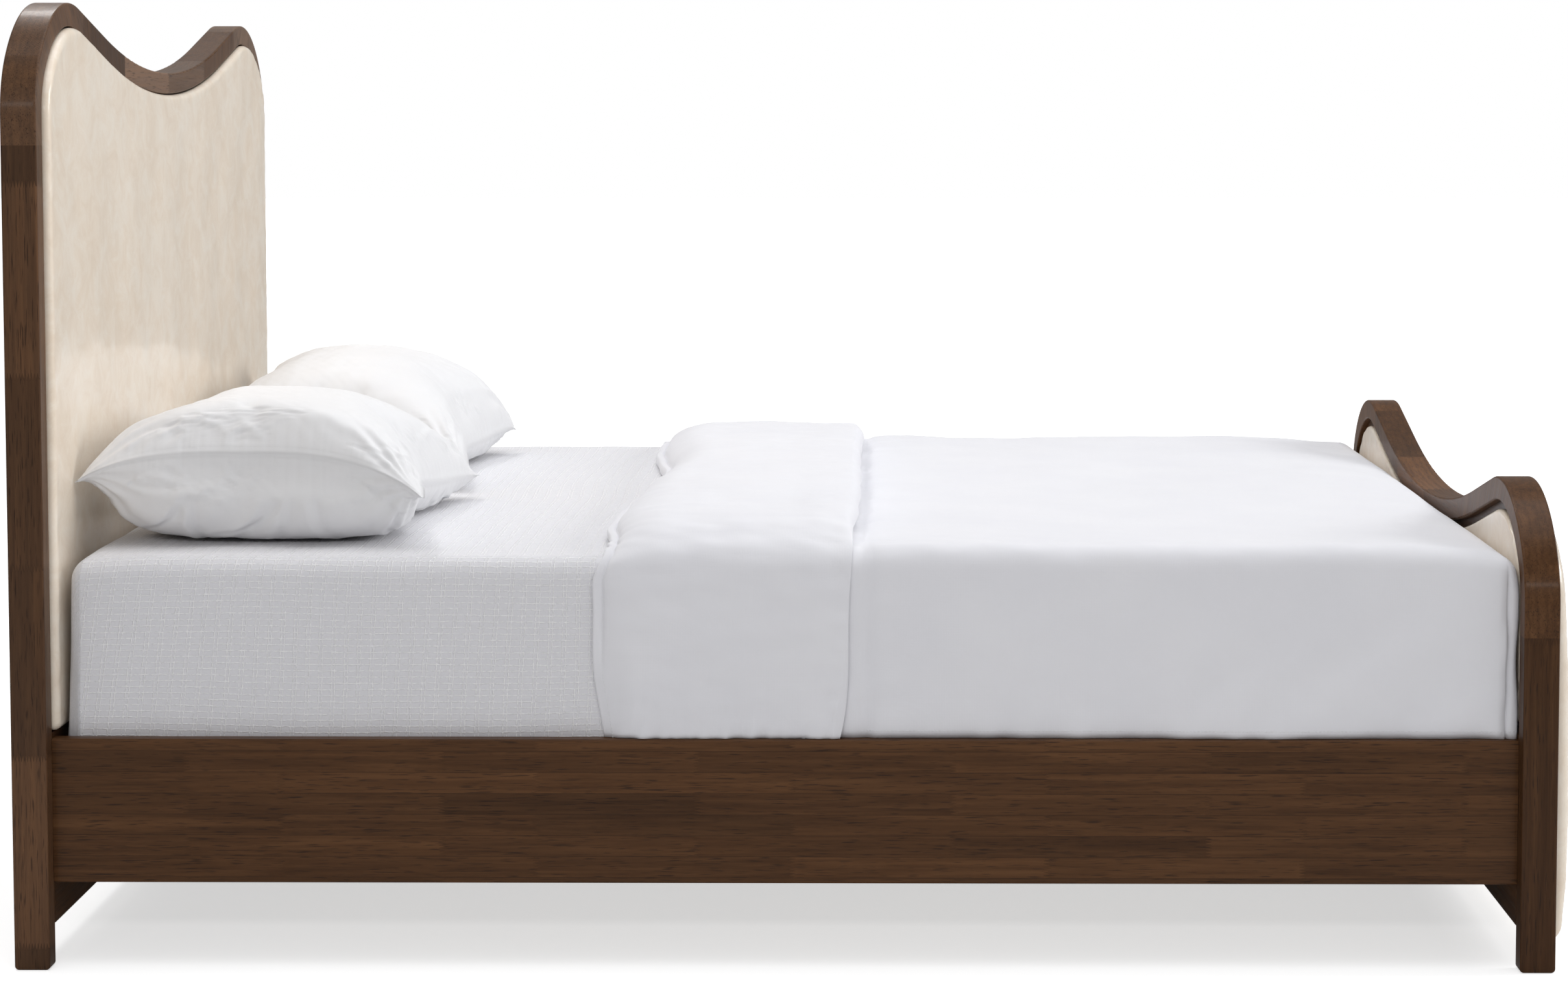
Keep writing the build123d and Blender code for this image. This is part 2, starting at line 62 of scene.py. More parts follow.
def read(elements, label, width, kind=float):
    """One property of all of a mesh's elements, as an array with that many columns."""
    flat = np.zeros(len(elements) * width, kind)
    elements.foreach_get(label, flat)
    return flat.reshape(-1, width)


def loop_points(mesh):
    """The number of each face corner's point."""
    return read(mesh.loops, "vertex_index", 1, np.int32)[:, 0]


def placed(name, data):
    """A new object in the scene."""
    made = bpy.data.objects.new(name, data)
    bpy.context.scene.collection.objects.link(made)
    return made


def new_piece(name, points, faces, uv=None):
    """A smooth mesh object from arrays of points and faces, with an optional map given per point."""
    mesh = bpy.data.meshes.new(name)
    mesh.from_pydata([tuple(p) for p in points], [], [tuple(int(i) for i in f) for f in faces])
    mesh.update()
    if uv is not None:
        layer = mesh.uv_layers.new(name="cloth")
        layer.data.foreach_set("uv", np.asarray(uv, np.float32)[loop_points(mesh)].ravel())
    mesh.shade_smooth()
    return placed(name, mesh)


def face_out(piece):
    """Turns every face outwards."""
    bm = bmesh.new()
    bm.from_mesh(piece.data)
    bmesh.ops.recalc_face_normals(bm, faces=bm.faces)
    bm.to_mesh(piece.data)
    bm.free()
    piece.data.update()
    return piece


def evaluated(piece):
    """The mesh that the piece's modifiers make of it."""
    graph = bpy.context.evaluated_depsgraph_get()
    return bpy.data.meshes.new_from_object(piece.evaluated_get(graph), depsgraph=graph)


def apply_modifiers(piece):
    old, piece.data = piece.data, evaluated(piece)
    piece.modifiers.clear()
    bpy.data.meshes.remove(old)


def grid_faces(rows, columns, start=0):
    """Quads between rows of points laid out one row after another."""
    r, c = np.meshgrid(np.arange(rows - 1), np.arange(columns - 1), indexing="ij")
    a = start + r * columns + c
    return np.stack([a, a + 1, a + columns + 1, a + columns], -1).reshape(-1, 4)


def ring_faces(loops, n):
    """Quads between closed loops of n points each."""
    a = np.arange(loops * n).reshape(loops, n)
    b = np.roll(a, -1, 1)
    return np.stack([a[:-1], b[:-1], b[1:], a[1:]], -1).reshape(-1, 4)


def grid_border(rows, columns, start=0):
    """A grid's outer points: up its first column, along its last row, down and back."""
    index = start + np.arange(rows * columns).reshape(rows, columns)
    return np.concatenate([index[:-1, 0], index[-1, :-1], index[:0:-1, -1], index[0, :0:-1]])


def welded(count, doubles, originals):
    """Which of so many points stay when doubles give way to originals, and every new number."""
    joined, keep = np.arange(count), np.ones(count, bool)
    joined[doubles], keep[doubles] = originals, False
    return keep, (np.cumsum(keep) - 1)[joined]


def coons(bottom, top, left, right):
    """Fills four edges: bottom and top run left to right, left and right run upwards."""
    def shares(one, other):
        steps = np.hypot(*np.diff(one, axis=0).T) + np.hypot(*np.diff(other, axis=0).T)
        return np.concatenate([[0], np.cumsum(steps)]) / steps.sum()

    u = shares(bottom, top)[None, :, None]
    v = shares(left, right)[:, None, None]
    corners = ((1 - u) * (1 - v) * bottom[0] + u * (1 - v) * bottom[-1]
               + (1 - u) * v * top[0] + u * v * top[-1])
    return (1 - v) * bottom[None] + v * top[None] + (1 - u) * left[:, None] + u * right[:, None] - corners


def ripple(points, spacing, seed, octaves=3):
    """Soft seeded noise from about -1 to 1 at points of two or three coordinates."""
    rng = np.random.default_rng(seed)
    total, size, waves = np.zeros(len(points)), 0.0, 5
    for octave in range(octaves):
        for _ in range(waves):
            way = rng.normal(size=points.shape[1])
            way *= (2.0 ** octave) * rng.uniform(0.7, 1.4) / (spacing * np.linalg.norm(way))
            total += np.sin(points @ way * 2 * np.pi + rng.uniform(0, 6.28)) / (1.6 ** octave)
        size += waves / (1.6 ** octave)
    return total / size * 2.2


def bell(distance, width):
    """1 at no distance, falling to both sides."""
    return np.exp(-(distance / width) ** 2)


def fade(distance, reach):
    """1 at no distance, dying away."""
    return np.exp(-distance / reach)


def share(value):
    """The value, kept between 0 and 1."""
    return np.clip(value, 0, 1)


def toward(degrees):
    """A unit step at that angle."""
    return np.array([math.cos(math.radians(degrees)), math.sin(math.radians(degrees))])


def arc(centre, radius, first, last, count):
    """Points of an arc from one angle to another, both in degrees."""
    turn = np.radians(np.linspace(first, last, count))
    return np.stack([centre[0] + radius * np.cos(turn), centre[1] + radius * np.sin(turn)], -1)


def mirrored(half):
    """A path that ends on the middle line, and its mirror image after it."""
    return np.concatenate([half, (half * [-1, 1])[-2::-1]])


# ---------------------------------------------------------------- leather pads

def eared_outline(sides, inset, base, corner):
    """The pad's outline in (y, z) as four edges: base, crown, left and right side."""
    half = BED_HALF - inset
    r1, r2 = SHOULDER_R - inset, EAR_R - inset
    c1 = np.array([-half + r1, sides])
    c2 = c1 + (r1 - r2) * toward(180 - SHOULDER_TURN)
    p2 = c2 + r2 * toward(90 - DIP_SLOPE)
    p3 = p2 + SLOPE_RUN * toward(-DIP_SLOPE)
    dip_r = -p3[0] / math.sin(math.radians(DIP_SLOPE))
    c3 = (0.0, p3[1] + dip_r * math.cos(math.radians(DIP_SLOPE)))
    ear = arc(c2, r2, 180 - SHOULDER_TURN, 90 - DIP_SLOPE, 19)
    slope = p2 + (p3 - p2) * np.linspace(0, 1, 10)[:, None]
    crown = mirrored(np.concatenate([ear, slope[1:], arc(c3, dip_r, 270 - DIP_SLOPE, 270, 34)[1:]]))
    turn = (-half + corner, base + corner)
    rise = np.stack([np.full(60, -half), np.linspace(base + corner, sides, 62)[1:-1]], -1)
    left = np.concatenate([arc(turn, corner, 225, 180, 5), rise, arc(c1, r1, 180, 180 - SHOULDER_TURN, 9)])
    sweep = arc(turn, corner, 225, 270, 5)
    flat = np.linspace(-half + corner, half - corner, len(crown) - 8)[1:-1]
    bottom = np.concatenate([sweep, np.stack([flat, np.full(len(flat), base)], -1),
                             (sweep * [-1, 1])[::-1]])
    return bottom, crown, left, left * [-1, 1]


def pad_rise(distance, height, rounding, crown, reach):
    """How far a pad's face stands off its board, that far in from its edge."""
    inside = share(distance / rounding)
    shell = height - rounding + rounding * np.sqrt(1 - (1 - inside) ** 2)
    return shell + crown * (1 - fade(distance, reach))


def make_pad(name, cover, outward, sides, inset, height, rounding, crown, reach, seed, fullness=None):
    """A crowned leather pad where the cover node is, facing outward, with drawn-in edges."""
    low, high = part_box(cover)
    seat, base = (low if outward > 0 else high).x, low.z
    corner, tightest = 0.012, 0.003
    steps = np.array([0, .02, .08, .18, .32, .5, .72, 1.0]) * rounding
    steps = np.concatenate([steps, rounding + np.array([.003, .008, .016, .028])])

    def outline(step, radius):
        return eared_outline(sides, inset + step, base + step, radius)

    loops = []
    for step in steps:
        b, t, l, r = outline(step, max(corner - step * .7, tightest))
        loops.append(np.concatenate([l[:-1], t[:-1], r[::-1][:-1], b[::-1][:-1]]))
    inner = coons(*outline(steps[-1], tightest))
    rows, columns = inner.shape[:2]
    flat = inner.reshape(-1, 2)
    n = len(loops[0])
    far = np.array([np.min(np.hypot(*(loops[0] - p).T)) for p in flat])
    depth = np.concatenate([np.repeat(steps, n), far])
    rise = pad_rise(np.maximum(depth, np.repeat([0, steps[-1]], [len(steps) * n, len(flat)])),
                    height, rounding, crown, reach)
    plan = np.concatenate([*loops, flat])
    if fullness is not None:
        rise = rise * fullness(plan[:, 1])
    puckered, broad, slack = 0.0009, 0.0012, 1 - fade(depth, .05)
    near = fade(depth, 0.022) * share(depth / (0.5 * rounding))
    rise = rise + near * puckered * ripple(plan, 0.035, seed, 2)
    rise = np.concatenate([np.zeros(n), rise + slack * broad * ripple(plan, 0.33, seed + 1, 3)])
    plan = np.concatenate([loops[0], plan])
    start = (len(steps) + 1) * n
    faces = np.concatenate([ring_faces(len(steps) + 1, n), grid_faces(rows, columns, start)])
    # The last loop and the grid's border are the same points.
    keep, number = welded(len(plan), grid_border(rows, columns, start), len(steps) * n + np.arange(n))
    points = np.column_stack([seat + outward * rise, plan])
    return face_out(new_piece(name, points[keep], [*number[faces], number[np.arange(n)[::-1]]]))


def outer_fullness(z):
    """The footboard's outer pad is fullest a third of the way up and thins to its rim."""
    heights = [0.036, 0.06, 0.10, 0.14, 0.20, 0.28, 0.36, 0.43, 0.50, 0.56, 0.62, 0.70]
    shares = [0.74, 0.82, 0.91, 0.96, 1.0, 0.99, 0.96, 0.91, 0.82, 0.74, 0.68, 0.64]
    return np.interp(z, heights, shares)


REVEAL, GROOVE = 0.002, 0.014            # what shows between the rim and a pad
head_pad = make_pad("headboard_pad", "headboard_cover", 1, HEAD_SIDES, STILE + REVEAL,
                    height=0.0215, rounding=0.0095, crown=0.0012, reach=0.05, seed=3)
inner_pad = make_pad("footboard_inner_pad", "footboard_inner_cover", -1, FOOT_SIDES, STILE + GROOVE,
                     height=0.0098, rounding=0.005, crown=0.0006, reach=0.05, seed=5)
outer_pad = make_pad("footboard_outer_pad", "footboard_outer_cover", 1, FOOT_SIDES, STILE + REVEAL,
                     height=0.037, rounding=0.022, crown=0.003, reach=0.12, seed=7, fullness=outer_fullness)


# ---------------------------------------------------------------- bedding shells

DROP_ROWS, EDGE_ROWS = 22, 9
COVERLET_GRID, DUVET_GRID = (150, 120), (130, 136)    # points along each side, and across


def bed_paths(x_open, x_closed, half_width, corner, grid, inset):
    """A U-shaped path round one closed end of the bed: left, end and right edges, inset."""
    way = 1 if x_closed > x_open else -1
    half, end = half_width - inset, x_closed - way * inset
    r = max(corner - inset, 0.002)

    def turn(first):
        angles = np.radians(np.linspace(first, first + 45, 7))
        return np.stack([end - way * r + way * r * np.sin(angles), -half + r - r * np.cos(angles)], -1)

    first, second = turn(0), turn(45)
    run = np.linspace(x_open, first[0, 0], grid[0] - 6)[:-1]
    left = np.concatenate([np.stack([run, np.full(len(run), -half)], -1), first])
    wide = np.linspace(second[-1, 1], -second[-1, 1], grid[1] - 12)[1:-1]
    across = np.concatenate([second, np.stack([np.full(len(wide), end), wide], -1),
                             (second * [1, -1])[::-1]])
    return left, across, left * [1, -1]


def bed_shell(x_open, x_closed, half_width, top, bottom, corner, edge, grid):
    """Points, map, faces, hem and lip of a cover on the mattress, closed at one end."""
    def loop(inset):
        left, across, right = bed_paths(x_open, x_closed, half_width, corner, grid, inset)
        return np.concatenate([left, across[1:], right[::-1][1:]])

    # Each level's inset and height, and how far the cloth has come down from the flat top.
    drop, bend = top - edge - bottom, edge * math.pi / 2
    levels = [(0.0, bottom + drop * up, bend + drop * (1 - up)) for up in np.arange(DROP_ROWS) / DROP_ROWS]
    levels += [(edge * (1 - math.cos(t)), top - edge + edge * math.sin(t), bend - edge * t)
               for t in np.linspace(0, math.pi / 2, EDGE_ROWS)]
    base = loop(edge)
    flow = np.gradient(base, axis=0)
    out = np.stack([flow[:, 1], -flow[:, 0]], -1) / np.linalg.norm(flow, axis=1)[:, None]
    if out[0, 1] > 0:
        out = -out
    n, count = len(base), len(levels)
    left, across, right = bed_paths(x_open, x_closed, half_width, corner, grid, edge)
    inner = coons(np.linspace(left[0], right[0], grid[1]), across, left, right)
    rows, columns = inner.shape[:2]
    body = inner.reshape(-1, 2)
    points = np.concatenate([*(np.column_stack([loop(inset), np.full(n, z)]) for inset, z, _ in levels),
                             np.column_stack([body, np.full(len(body), top)])])
    maps = np.concatenate([*(base + out * fall for _, _, fall in levels), body])
    start = count * n
    keep, number = welded(len(points), grid_border(rows, columns, start)[:n], start - n + np.arange(n))
    faces = number[np.concatenate([grid_faces(count, n), grid_faces(rows, columns, start)])]
    up = np.arange(count) * n
    lip = number[np.concatenate([up, start + np.arange(1, columns - 1), up[::-1] + n - 1])]
    return points[keep], maps[keep], faces, number[:n], lip


def make_cover(name, outer, inner, shape):
    """A closed piece from two shells of the same layout; shape moves the outer points."""
    points, maps, faces, hem, lip = outer
    n = len(points)
    points = shape(points, maps, inner[0])
    walls = [np.stack([rim[:-1], rim[1:], rim[1:] + n, rim[:-1] + n], -1) for rim in (hem, lip)]
    return face_out(new_piece(name, np.concatenate([points, inner[0]]),
                              [*faces, *(faces[:, ::-1] + n), *np.concatenate(walls)],
                              np.concatenate([maps, maps])))


def away(points, inside):
    """Unit steps from the inner shell to the outer one."""
    step = points - inside
    return step / np.maximum(np.linalg.norm(step, axis=1), 1e-9)[:, None]


def shape_coverlet(points, maps, inside):
    """Leans the head end in, lets its top corners slump and ruffles the drop a little."""
    x, y, z = points.T
    from_head = x - COV_LO.x
    # The weave runs a little askew down the drop.
    maps[:, 0] += 0.15 * (COV_HI.z - z) * fade(from_head, 0.5)
    maps[:, 1] += 0.010 * np.sin(x * 3.4 + 0.6) * (COV_HI.z - z) * np.sign(y) / 0.28
    soft = 0.0012 * ripple(maps, 0.42, 21, 3)
    low = share((0.50 - z) / 0.2)
    soft += 0.0030 * bell(x - DUV_LO.x, 0.16) * low * ripple(maps * [1, 0.25], 0.11, 22, 2)
    soft += 0.0016 * low * ripple(maps * [1, 0.3], 0.17, 23, 2)
    moved = points + away(points, inside) * np.clip(soft, -0.0022, 0.0042)[:, None]
    rise = share((z - COV_LO.z) / (COV_HI.z - COV_LO.z))
    moved[:, 0] += (0.0045 * rise - 0.0038 * (1 - rise)) * fade(from_head, 0.05)
    moved[:, 2] -= 0.004 * bell(np.hypot(from_head, COV_HI.y - np.abs(y)), 0.055) * rise
    return moved


THIN, LOFT = 0.005, 0.018                # thickness of the coverlet and of the duvet
coverlet = make_cover(
    "coverlet_cloth",
    bed_shell(COV_HI.x, COV_LO.x, COV_HI.y, COV_HI.z, COV_LO.z, 0.018, 0.031, COVERLET_GRID),
    bed_shell(COV_HI.x, COV_LO.x + THIN, COV_HI.y - THIN, COV_HI.z - THIN, COV_LO.z,
              0.013, 0.028, COVERLET_GRID),
    shape_coverlet)

BAND, FLANGE = 0.363, 0.0140             # the turned-back band's width, and how far in its seam is
FOLD_END = DUV_LO.x + BAND
DUVET_START = DUV_LO.x + 0.078           # under the band
DUVET_SIDE, DUVET_TOP = DUV_HI.y - 0.005, DUV_HI.z - 0.016
DUVET_CORNER = 0.016


def head_bow(y):
    """How far the turned-back edge of the duvet is drawn towards the foot, across the bed."""
    return 0.044 * bell(y - 0.03, 0.33) + 0.020 * bell(y + 0.73, 0.11)


def bowed(shell):
    """Draws a shell's open edge in to follow the turned-back edge."""
    points, *rest = shell
    points[:, 0] += share(1 - (points[:, 0] - DUV_LO.x) / 0.2) * head_bow(points[:, 1])
    return points, *rest


def shape_duvet(points, maps, inside):
    """Soft billows, a drawn-in hem and a tucked fold down each corner at the foot."""
    x, y, z = points.T
    above_hem, below_top, from_foot = z - DUV_LO.z, DUV_HI.z - z, DUV_HI.x - x
    past_band = maps[:, 0] - FOLD_END
    loft = 0.0034 * ripple(maps, 0.60, 31, 2) + 0.0016 * ripple(maps, 0.19, 32, 3)
    loft += 0.0022 * bell(past_band, 0.06) * ripple(maps * [0.30, 1], 0.06, 33, 2)
    loft += 0.0020 * fade(above_hem, 0.07) * ripple(maps * [1, 0.4], 0.09, 34, 2)
    loft -= 0.0065 * bell(past_band - 0.009, 0.011)
    covered = share((-0.012 - past_band) / 0.02)
    loft = loft * (1 - covered) - 0.0035 * covered
    # Slanting pulls towards each corner at the foot.
    on_side = share((np.abs(y) - DUV_HI.y + 0.05) / 0.03)
    for behind, lower, deep in ((0.14, 0.10, 0.0062), (0.30, 0.13, 0.0034), (0.06, 0.20, 0.0028)):
        px, pz = behind - from_foot, lower - below_top
        across, along = 0.56 * px - 0.83 * pz, -0.83 * px - 0.56 * pz
        crease = 0.7 * bell(across - 0.050, 0.030) - bell(across, 0.024)
        loft += deep * on_side * bell(along - 0.13, 0.12) * crease
    room = np.clip(from_foot / 0.05, 0.05, 1)
    moved = points + away(points, inside) * ((loft - 0.006 * fade(above_hem, 0.014)) * room)[:, None]
    # The top settles before the foot edge.
    moved[:, 2] -= 0.013 * share(1 - from_foot / 0.24) ** 2 * share((0.06 - below_top) / 0.04)
    # The tucked corner: a wandering groove and a bulge beside it, round the corner's own axis.
    arm = np.stack([x - (DUV_HI.x - DUVET_CORNER), y - np.sign(y) * (DUVET_SIDE - DUVET_CORNER)], -1)
    outwards = np.where(np.sign(arm[:, 1]) == np.sign(y), 1, -1)
    turn = np.degrees(np.arctan2(arm[:, 0], np.abs(arm[:, 1]) * outwards))
    reach = np.hypot(*arm.T)
    wander = 5 * np.sin(z * 31) + 3 * np.sin(z * 83 + 1)
    groove = -0.0062 * bell(turn - 20 - wander, 11)
    bulge = 0.0045 * bell(turn - 62, 22) * (1 + 0.5 * np.sin(z * 38 + 0.7))
    push = share((below_top - 0.030) / 0.05) * (groove + bulge)
    push[(reach >= DUVET_CORNER * 1.35) | (below_top <= 0.02)] = 0
    moved[:, :2] += arm / np.maximum(reach, 1e-6)[:, None] * push[:, None]
    moved[:, 0] = np.minimum(moved[:, 0], FOOT_X - 0.0006)
    return moved


duvet = make_cover(
    "duvet_cover",
    bowed(bed_shell(DUVET_START, DUV_HI.x, DUVET_SIDE, DUVET_TOP, DUV_LO.z,
                    DUVET_CORNER, 0.034, DUVET_GRID)),
    bowed(bed_shell(DUVET_START, DUV_HI.x - 0.005, DUVET_SIDE - LOFT, DUVET_TOP - LOFT, DUV_LO.z,
                    0.012, 0.0343, DUVET_GRID)),
    shape_duvet)

BAND_COLUMNS = 320


def band_section(half, top, edge, curl=0.0, crown=0.0, bulge=0.0, spread=1.0):
    """The band's outline in (y, z): drop, rounded shoulder, crowned top and their mirror image."""
    bottom, wide = DUV_LO.z, edge * spread
    side = np.linspace(bottom, top - edge, 90)[:-1]
    out = bulge * np.sin(np.pi * (side - bottom) / (top - edge - bottom))
    left = np.column_stack([-half - out + curl * fade(side - bottom, 0.022), side])
    bend = arc((0, 0), 1.0, 180, 90, 30) * [wide, edge] + [-half + wide, top - edge]
    flat = np.linspace(-half + wide, 0, 60)[1:]
    over = np.column_stack([flat, top + crown * np.sin(np.pi / 2 * (flat + half - wide) / (half - wide))])
    path = mirrored(np.concatenate([left, bend, over]))
    run = np.concatenate([[0], np.cumsum(np.linalg.norm(np.diff(path, axis=0), axis=1))])
    even = np.linspace(0, run[-1], BAND_COLUMNS)
    return np.column_stack([np.interp(even, run, path[:, k]) for k in (0, 1)]), even


def make_fold():
    """The turned-back end of the duvet: a sewn flange, a full soft band and a free edge."""
    count = BAND_COLUMNS
    on_duvet, deep = 0.0002, 0.0172      # clear of the duvet below, and down to the lining
    half, top = DUVET_SIDE + on_duvet, DUVET_TOP + on_duvet
    inner, run = band_section(half, top, 0.034)
    lining, _ = band_section(half - deep, top - deep, 0.0343)
    outer, _ = band_section(DUV_HI.y - 0.0005, DUV_HI.z + 0.016, 0.066,
                            curl=0.0042, crown=0.012, bulge=0.0050, spread=2.27)
    from_hem = np.minimum(run, run[-1] - run)
    on_top = share((inner[:, 1] - 0.55) / 0.04)
    at_turn = bell(from_hem - 0.315, 0.028)
    # Where the band starts and ends along X, all the way over the bed.
    start = DUV_LO.x - 0.008 + head_bow(inner[:, 0]) * on_top + 0.0022 * np.sin(run * 11.1 + 1.3) \
        + 0.0012 * np.sin(run * 37 + .4) + 0.013 * share(1 - from_hem / 0.10) ** 1.5 \
        + at_turn * 0.0030 * np.sin(run * 190)
    end = FOLD_END - 0.006 + 0.009 * share((from_hem - 0.2) / 0.3) - 0.017 * fade(from_hem, 0.075) \
        + 0.0015 * np.sin(run * 7.3 + 2.1) + 0.0012 * np.sin(run * 29)
    # Section across the band: how far along it, how high from lining or duvet to the outside.
    lip, thin, rising, full, roll = 0.0036, 0.34, 0.0155, 0.0895, 0.017
    section = [(lip * (1 - math.cos(t)), 0.165 + 0.165 * math.sin(t))
               for t in np.radians(np.linspace(-80, 90, 9))]
    section += [(0.0065, 0.335), (0.0098, thin), (0.0124, 0.32), (FLANGE, 0.27), (rising, thin)]
    section += [(rising + (full - rising) * s ** 1.3, thin + (1 - thin) * math.sin(math.pi / 2 * s ** 0.72))
                for s in np.arange(1, 21) / 20]
    flange_end = len(section)
    section += [(full + (BAND - full - roll) * k / 34, 1.0) for k in range(1, 34)]
    section += [(BAND - roll + roll * math.cos(t), 0.5 + 0.5 * math.sin(t))
                for t in np.radians(np.linspace(90, -70, 15))]
    sewn = share((from_hem - 0.09) / 0.07)
    points, maps, seam = [], [], None
    for k, (u, lift) in enumerate(section):
        along = u / BAND
        x = start + (end - start) * along
        place = np.column_stack([x, run])
        puff = 0.0026 * ripple(place, 0.30, 41, 3) + 0.0008 * ripple(place * [0.45, 1], 0.055, 42, 2)
        puff += 0.0024 * fade(from_hem, 0.05) * ripple(place * [1, 0.35], 0.034, 43, 2)
        puff += bell(u - 0.024, 0.014) * (0.0012 + 0.0022 * at_turn) * ripple(place * [0.1, 1], 0.021, 44, 2)
        puff += bell(along - 0.955, 0.035) * 0.0011 * ripple(place * [0.15, 1], 0.030, 45, 2)
        swell = 1 + 0.16 * math.sin(math.pi * min(along, 1)) + 0.05 * bell(along - 0.86, 0.10)
        low = lining if k < flange_end else inner
        step = outer - low
        far = np.maximum(np.linalg.norm(step, axis=1), 1e-6)[:, None]
        if k < flange_end:
            plain = lift if u < lip else 0.33 + 0.67 * math.sin(math.pi / 2 * min(1.0, (u - lip) / 0.06))
            lift = (lift * sewn + plain * (1 - sewn))[:, None]
            lift = lift + (swell - 1) * lift * np.linalg.norm(outer - inner, axis=1)[:, None] / far
        else:
            lift *= swell
        grown = low + step * lift + step / far * (puff * share(np.max(lift) * 1.4 - 0.5))[:, None]
        grown[:, 1] = np.maximum(grown[:, 1], DUV_LO.z)
        points.append(np.column_stack([x, grown]))
        maps.append(place)
        if u == FLANGE:
            seam = points[-1]
    rows = len(section)
    # Its underside closes the flange down to the lining and lies on the duvet.
    a, last = np.arange(count - 1), (rows - 1) * count
    under = np.stack([a, a + 1, last + a + 1, last + a], -1)[:, ::-1]
    ends = [np.arange(rows) * count, (np.arange(rows) * count + count - 1)[::-1]]
    piece = new_piece("duvet_turnback", np.concatenate(points),
                      [*grid_faces(rows, count), *under, *ends], np.concatenate(maps))
    return face_out(piece), seam


fold, fold_seam = make_fold()


# ---------------------------------------------------------------- mattress

def make_mattress():
    """A rounded mattress, and the two lines that its piping follows."""
    lo, hi = MAT_LO, MAT_HI
    half_x, half_y, mid_x = (hi.x - lo.x) / 2, (hi.y - lo.y) / 2, (lo.x + hi.x) / 2
    corner, edge, piped = 0.06, 0.034, 0.29

    def loop(inset):
        r = max(corner - inset, 0.004)
        a, b = half_x - inset - r, half_y - inset - r
        turns = ((a, b, 0), (-a, b, 90), (-a, -b, 180), (a, -b, 270))
        closed = np.concatenate([arc((cx, cy), r, first, first + 90, 9) for cx, cy, first in turns])
        dense = []
        for p, q in zip(closed, np.roll(closed, -1, 0)):
            cuts = 24 if np.hypot(*(q - p)) > 0.2 else 1
            dense.extend(p + (q - p) * j / cuts for j in range(cuts))
        return np.array(dense) + [mid_x, 0]

    bend = [(edge * (1 - math.cos(t)), edge * (1 - math.sin(t))) for t in np.radians(np.linspace(0, 90, 8))]
    rows = [(inset, lo.z + up) for inset, up in bend[::-1]]
    rows += [(0.0, lo.z + edge + (hi.z - lo.z - 2 * edge) * k / 10) for k in range(1, 10)]
    rows += [(inset, hi.z - down) for inset, down in bend]
    points = np.concatenate([np.column_stack([loop(i), np.full(len(loop(i)), z)]) for i, z in rows])
    n = len(loop(0))
    ends = [np.arange(n)[::-1], (len(rows) - 1) * n + np.arange(n)]
    rims = [[(*p, z) for p in loop(edge * piped)] for z in (lo.z + edge * piped, hi.z - edge * piped)]
    return face_out(new_piece("mattress_block", points, [*ring_faces(len(rows), n), *ends])), rims


mattress, mattress_rims = make_mattress()


# ---------------------------------------------------------------- nodes

def feed(tree, socket, value):
    """Links an output to a socket or sets the socket's own value; a colour goes without its alpha."""
    if isinstance(value, bpy.types.NodeSocket):
        tree.links.new(value, socket)
    else:
        socket.default_value = (*value, 1) if socket.type == "RGBA" else value


def add_node(tree, kind, inputs=(), **settings):
    """Adds a node, sets it up and feeds it."""
    made = tree.nodes.new(kind)
    for key, value in settings.items():
        setattr(made, key, value)
    for key, value in dict(inputs).items():
        feed(tree, made.inputs[key], value)
    return made


# ---------------------------------------------------------------- stitches and piping

def path_tree(name, numbers, build):
    """A geometry tree that takes a wire, numbers and a finish; build makes the shape along the wire."""
    tree = bpy.data.node_groups.new(name, "GeometryNodeTree")
    floats = [(label, "Float") for label in numbers]
    for label, kind in (("Path", "Geometry"), *floats, ("Finish", "Material")):
        tree.interface.new_socket(label, in_out="INPUT", socket_type="NodeSocket" + kind)
    tree.interface.new_socket("Geometry", in_out="OUTPUT", socket_type="NodeSocketGeometry")

    def add(kind, inputs=(), **settings):
        return add_node(tree, kind, inputs, **settings).outputs[0]

    given = add_node(tree, "NodeGroupInput").outputs
    shape = build(add, given, add("GeometryNodeMeshToCurve", {"Mesh": given["Path"]}))
    real = add("GeometryNodeRealizeInstances", {"Geometry": shape})
    soft = add("GeometryNodeSetShadeSmooth", {"Geometry": real})
    done = add("GeometryNodeSetMaterial", {"Geometry": soft, "Material": given["Finish"]})
    tree.links.new(done, add_node(tree, "NodeGroupOutput").inputs[0])
    return tree


def stitches(add, given, curve):
    """Short rounded threads laid end to end along a path."""
    even = add("GeometryNodeResampleCurve", {"Curve": curve, "Length": given["Pitch"]}, mode="LENGTH")
    bead = add("GeometryNodeMeshUVSphere", {"Segments": 5, "Rings": 4, "Radius": 1.0})
    size = add("ShaderNodeCombineXYZ", {"X": given["Thread"], "Y": given["Thread"], "Z": given["Stitch"]})
    half = add("ShaderNodeVectorMath", {0: size, 1: (0.5, 0.5, 0.5)}, operation="MULTIPLY")
    thread = add("GeometryNodeTransform", {"Geometry": bead, "Scale": half})
    turn = add("FunctionNodeAlignRotationToVector", {"Vector": add("GeometryNodeInputTangent")}, axis="Z")
    return add("GeometryNodeInstanceOnPoints", {"Points": even, "Instance": thread, "Rotation": turn})


def piping(add, given, curve):
    """A covered cord swept along a path."""
    ring = add("GeometryNodeCurvePrimitiveCircle", {"Resolution": 8, "Radius": given["Radius"]},
               mode="RADIUS")
    return add("GeometryNodeCurveToMesh", {"Curve": curve, "Profile Curve": ring})


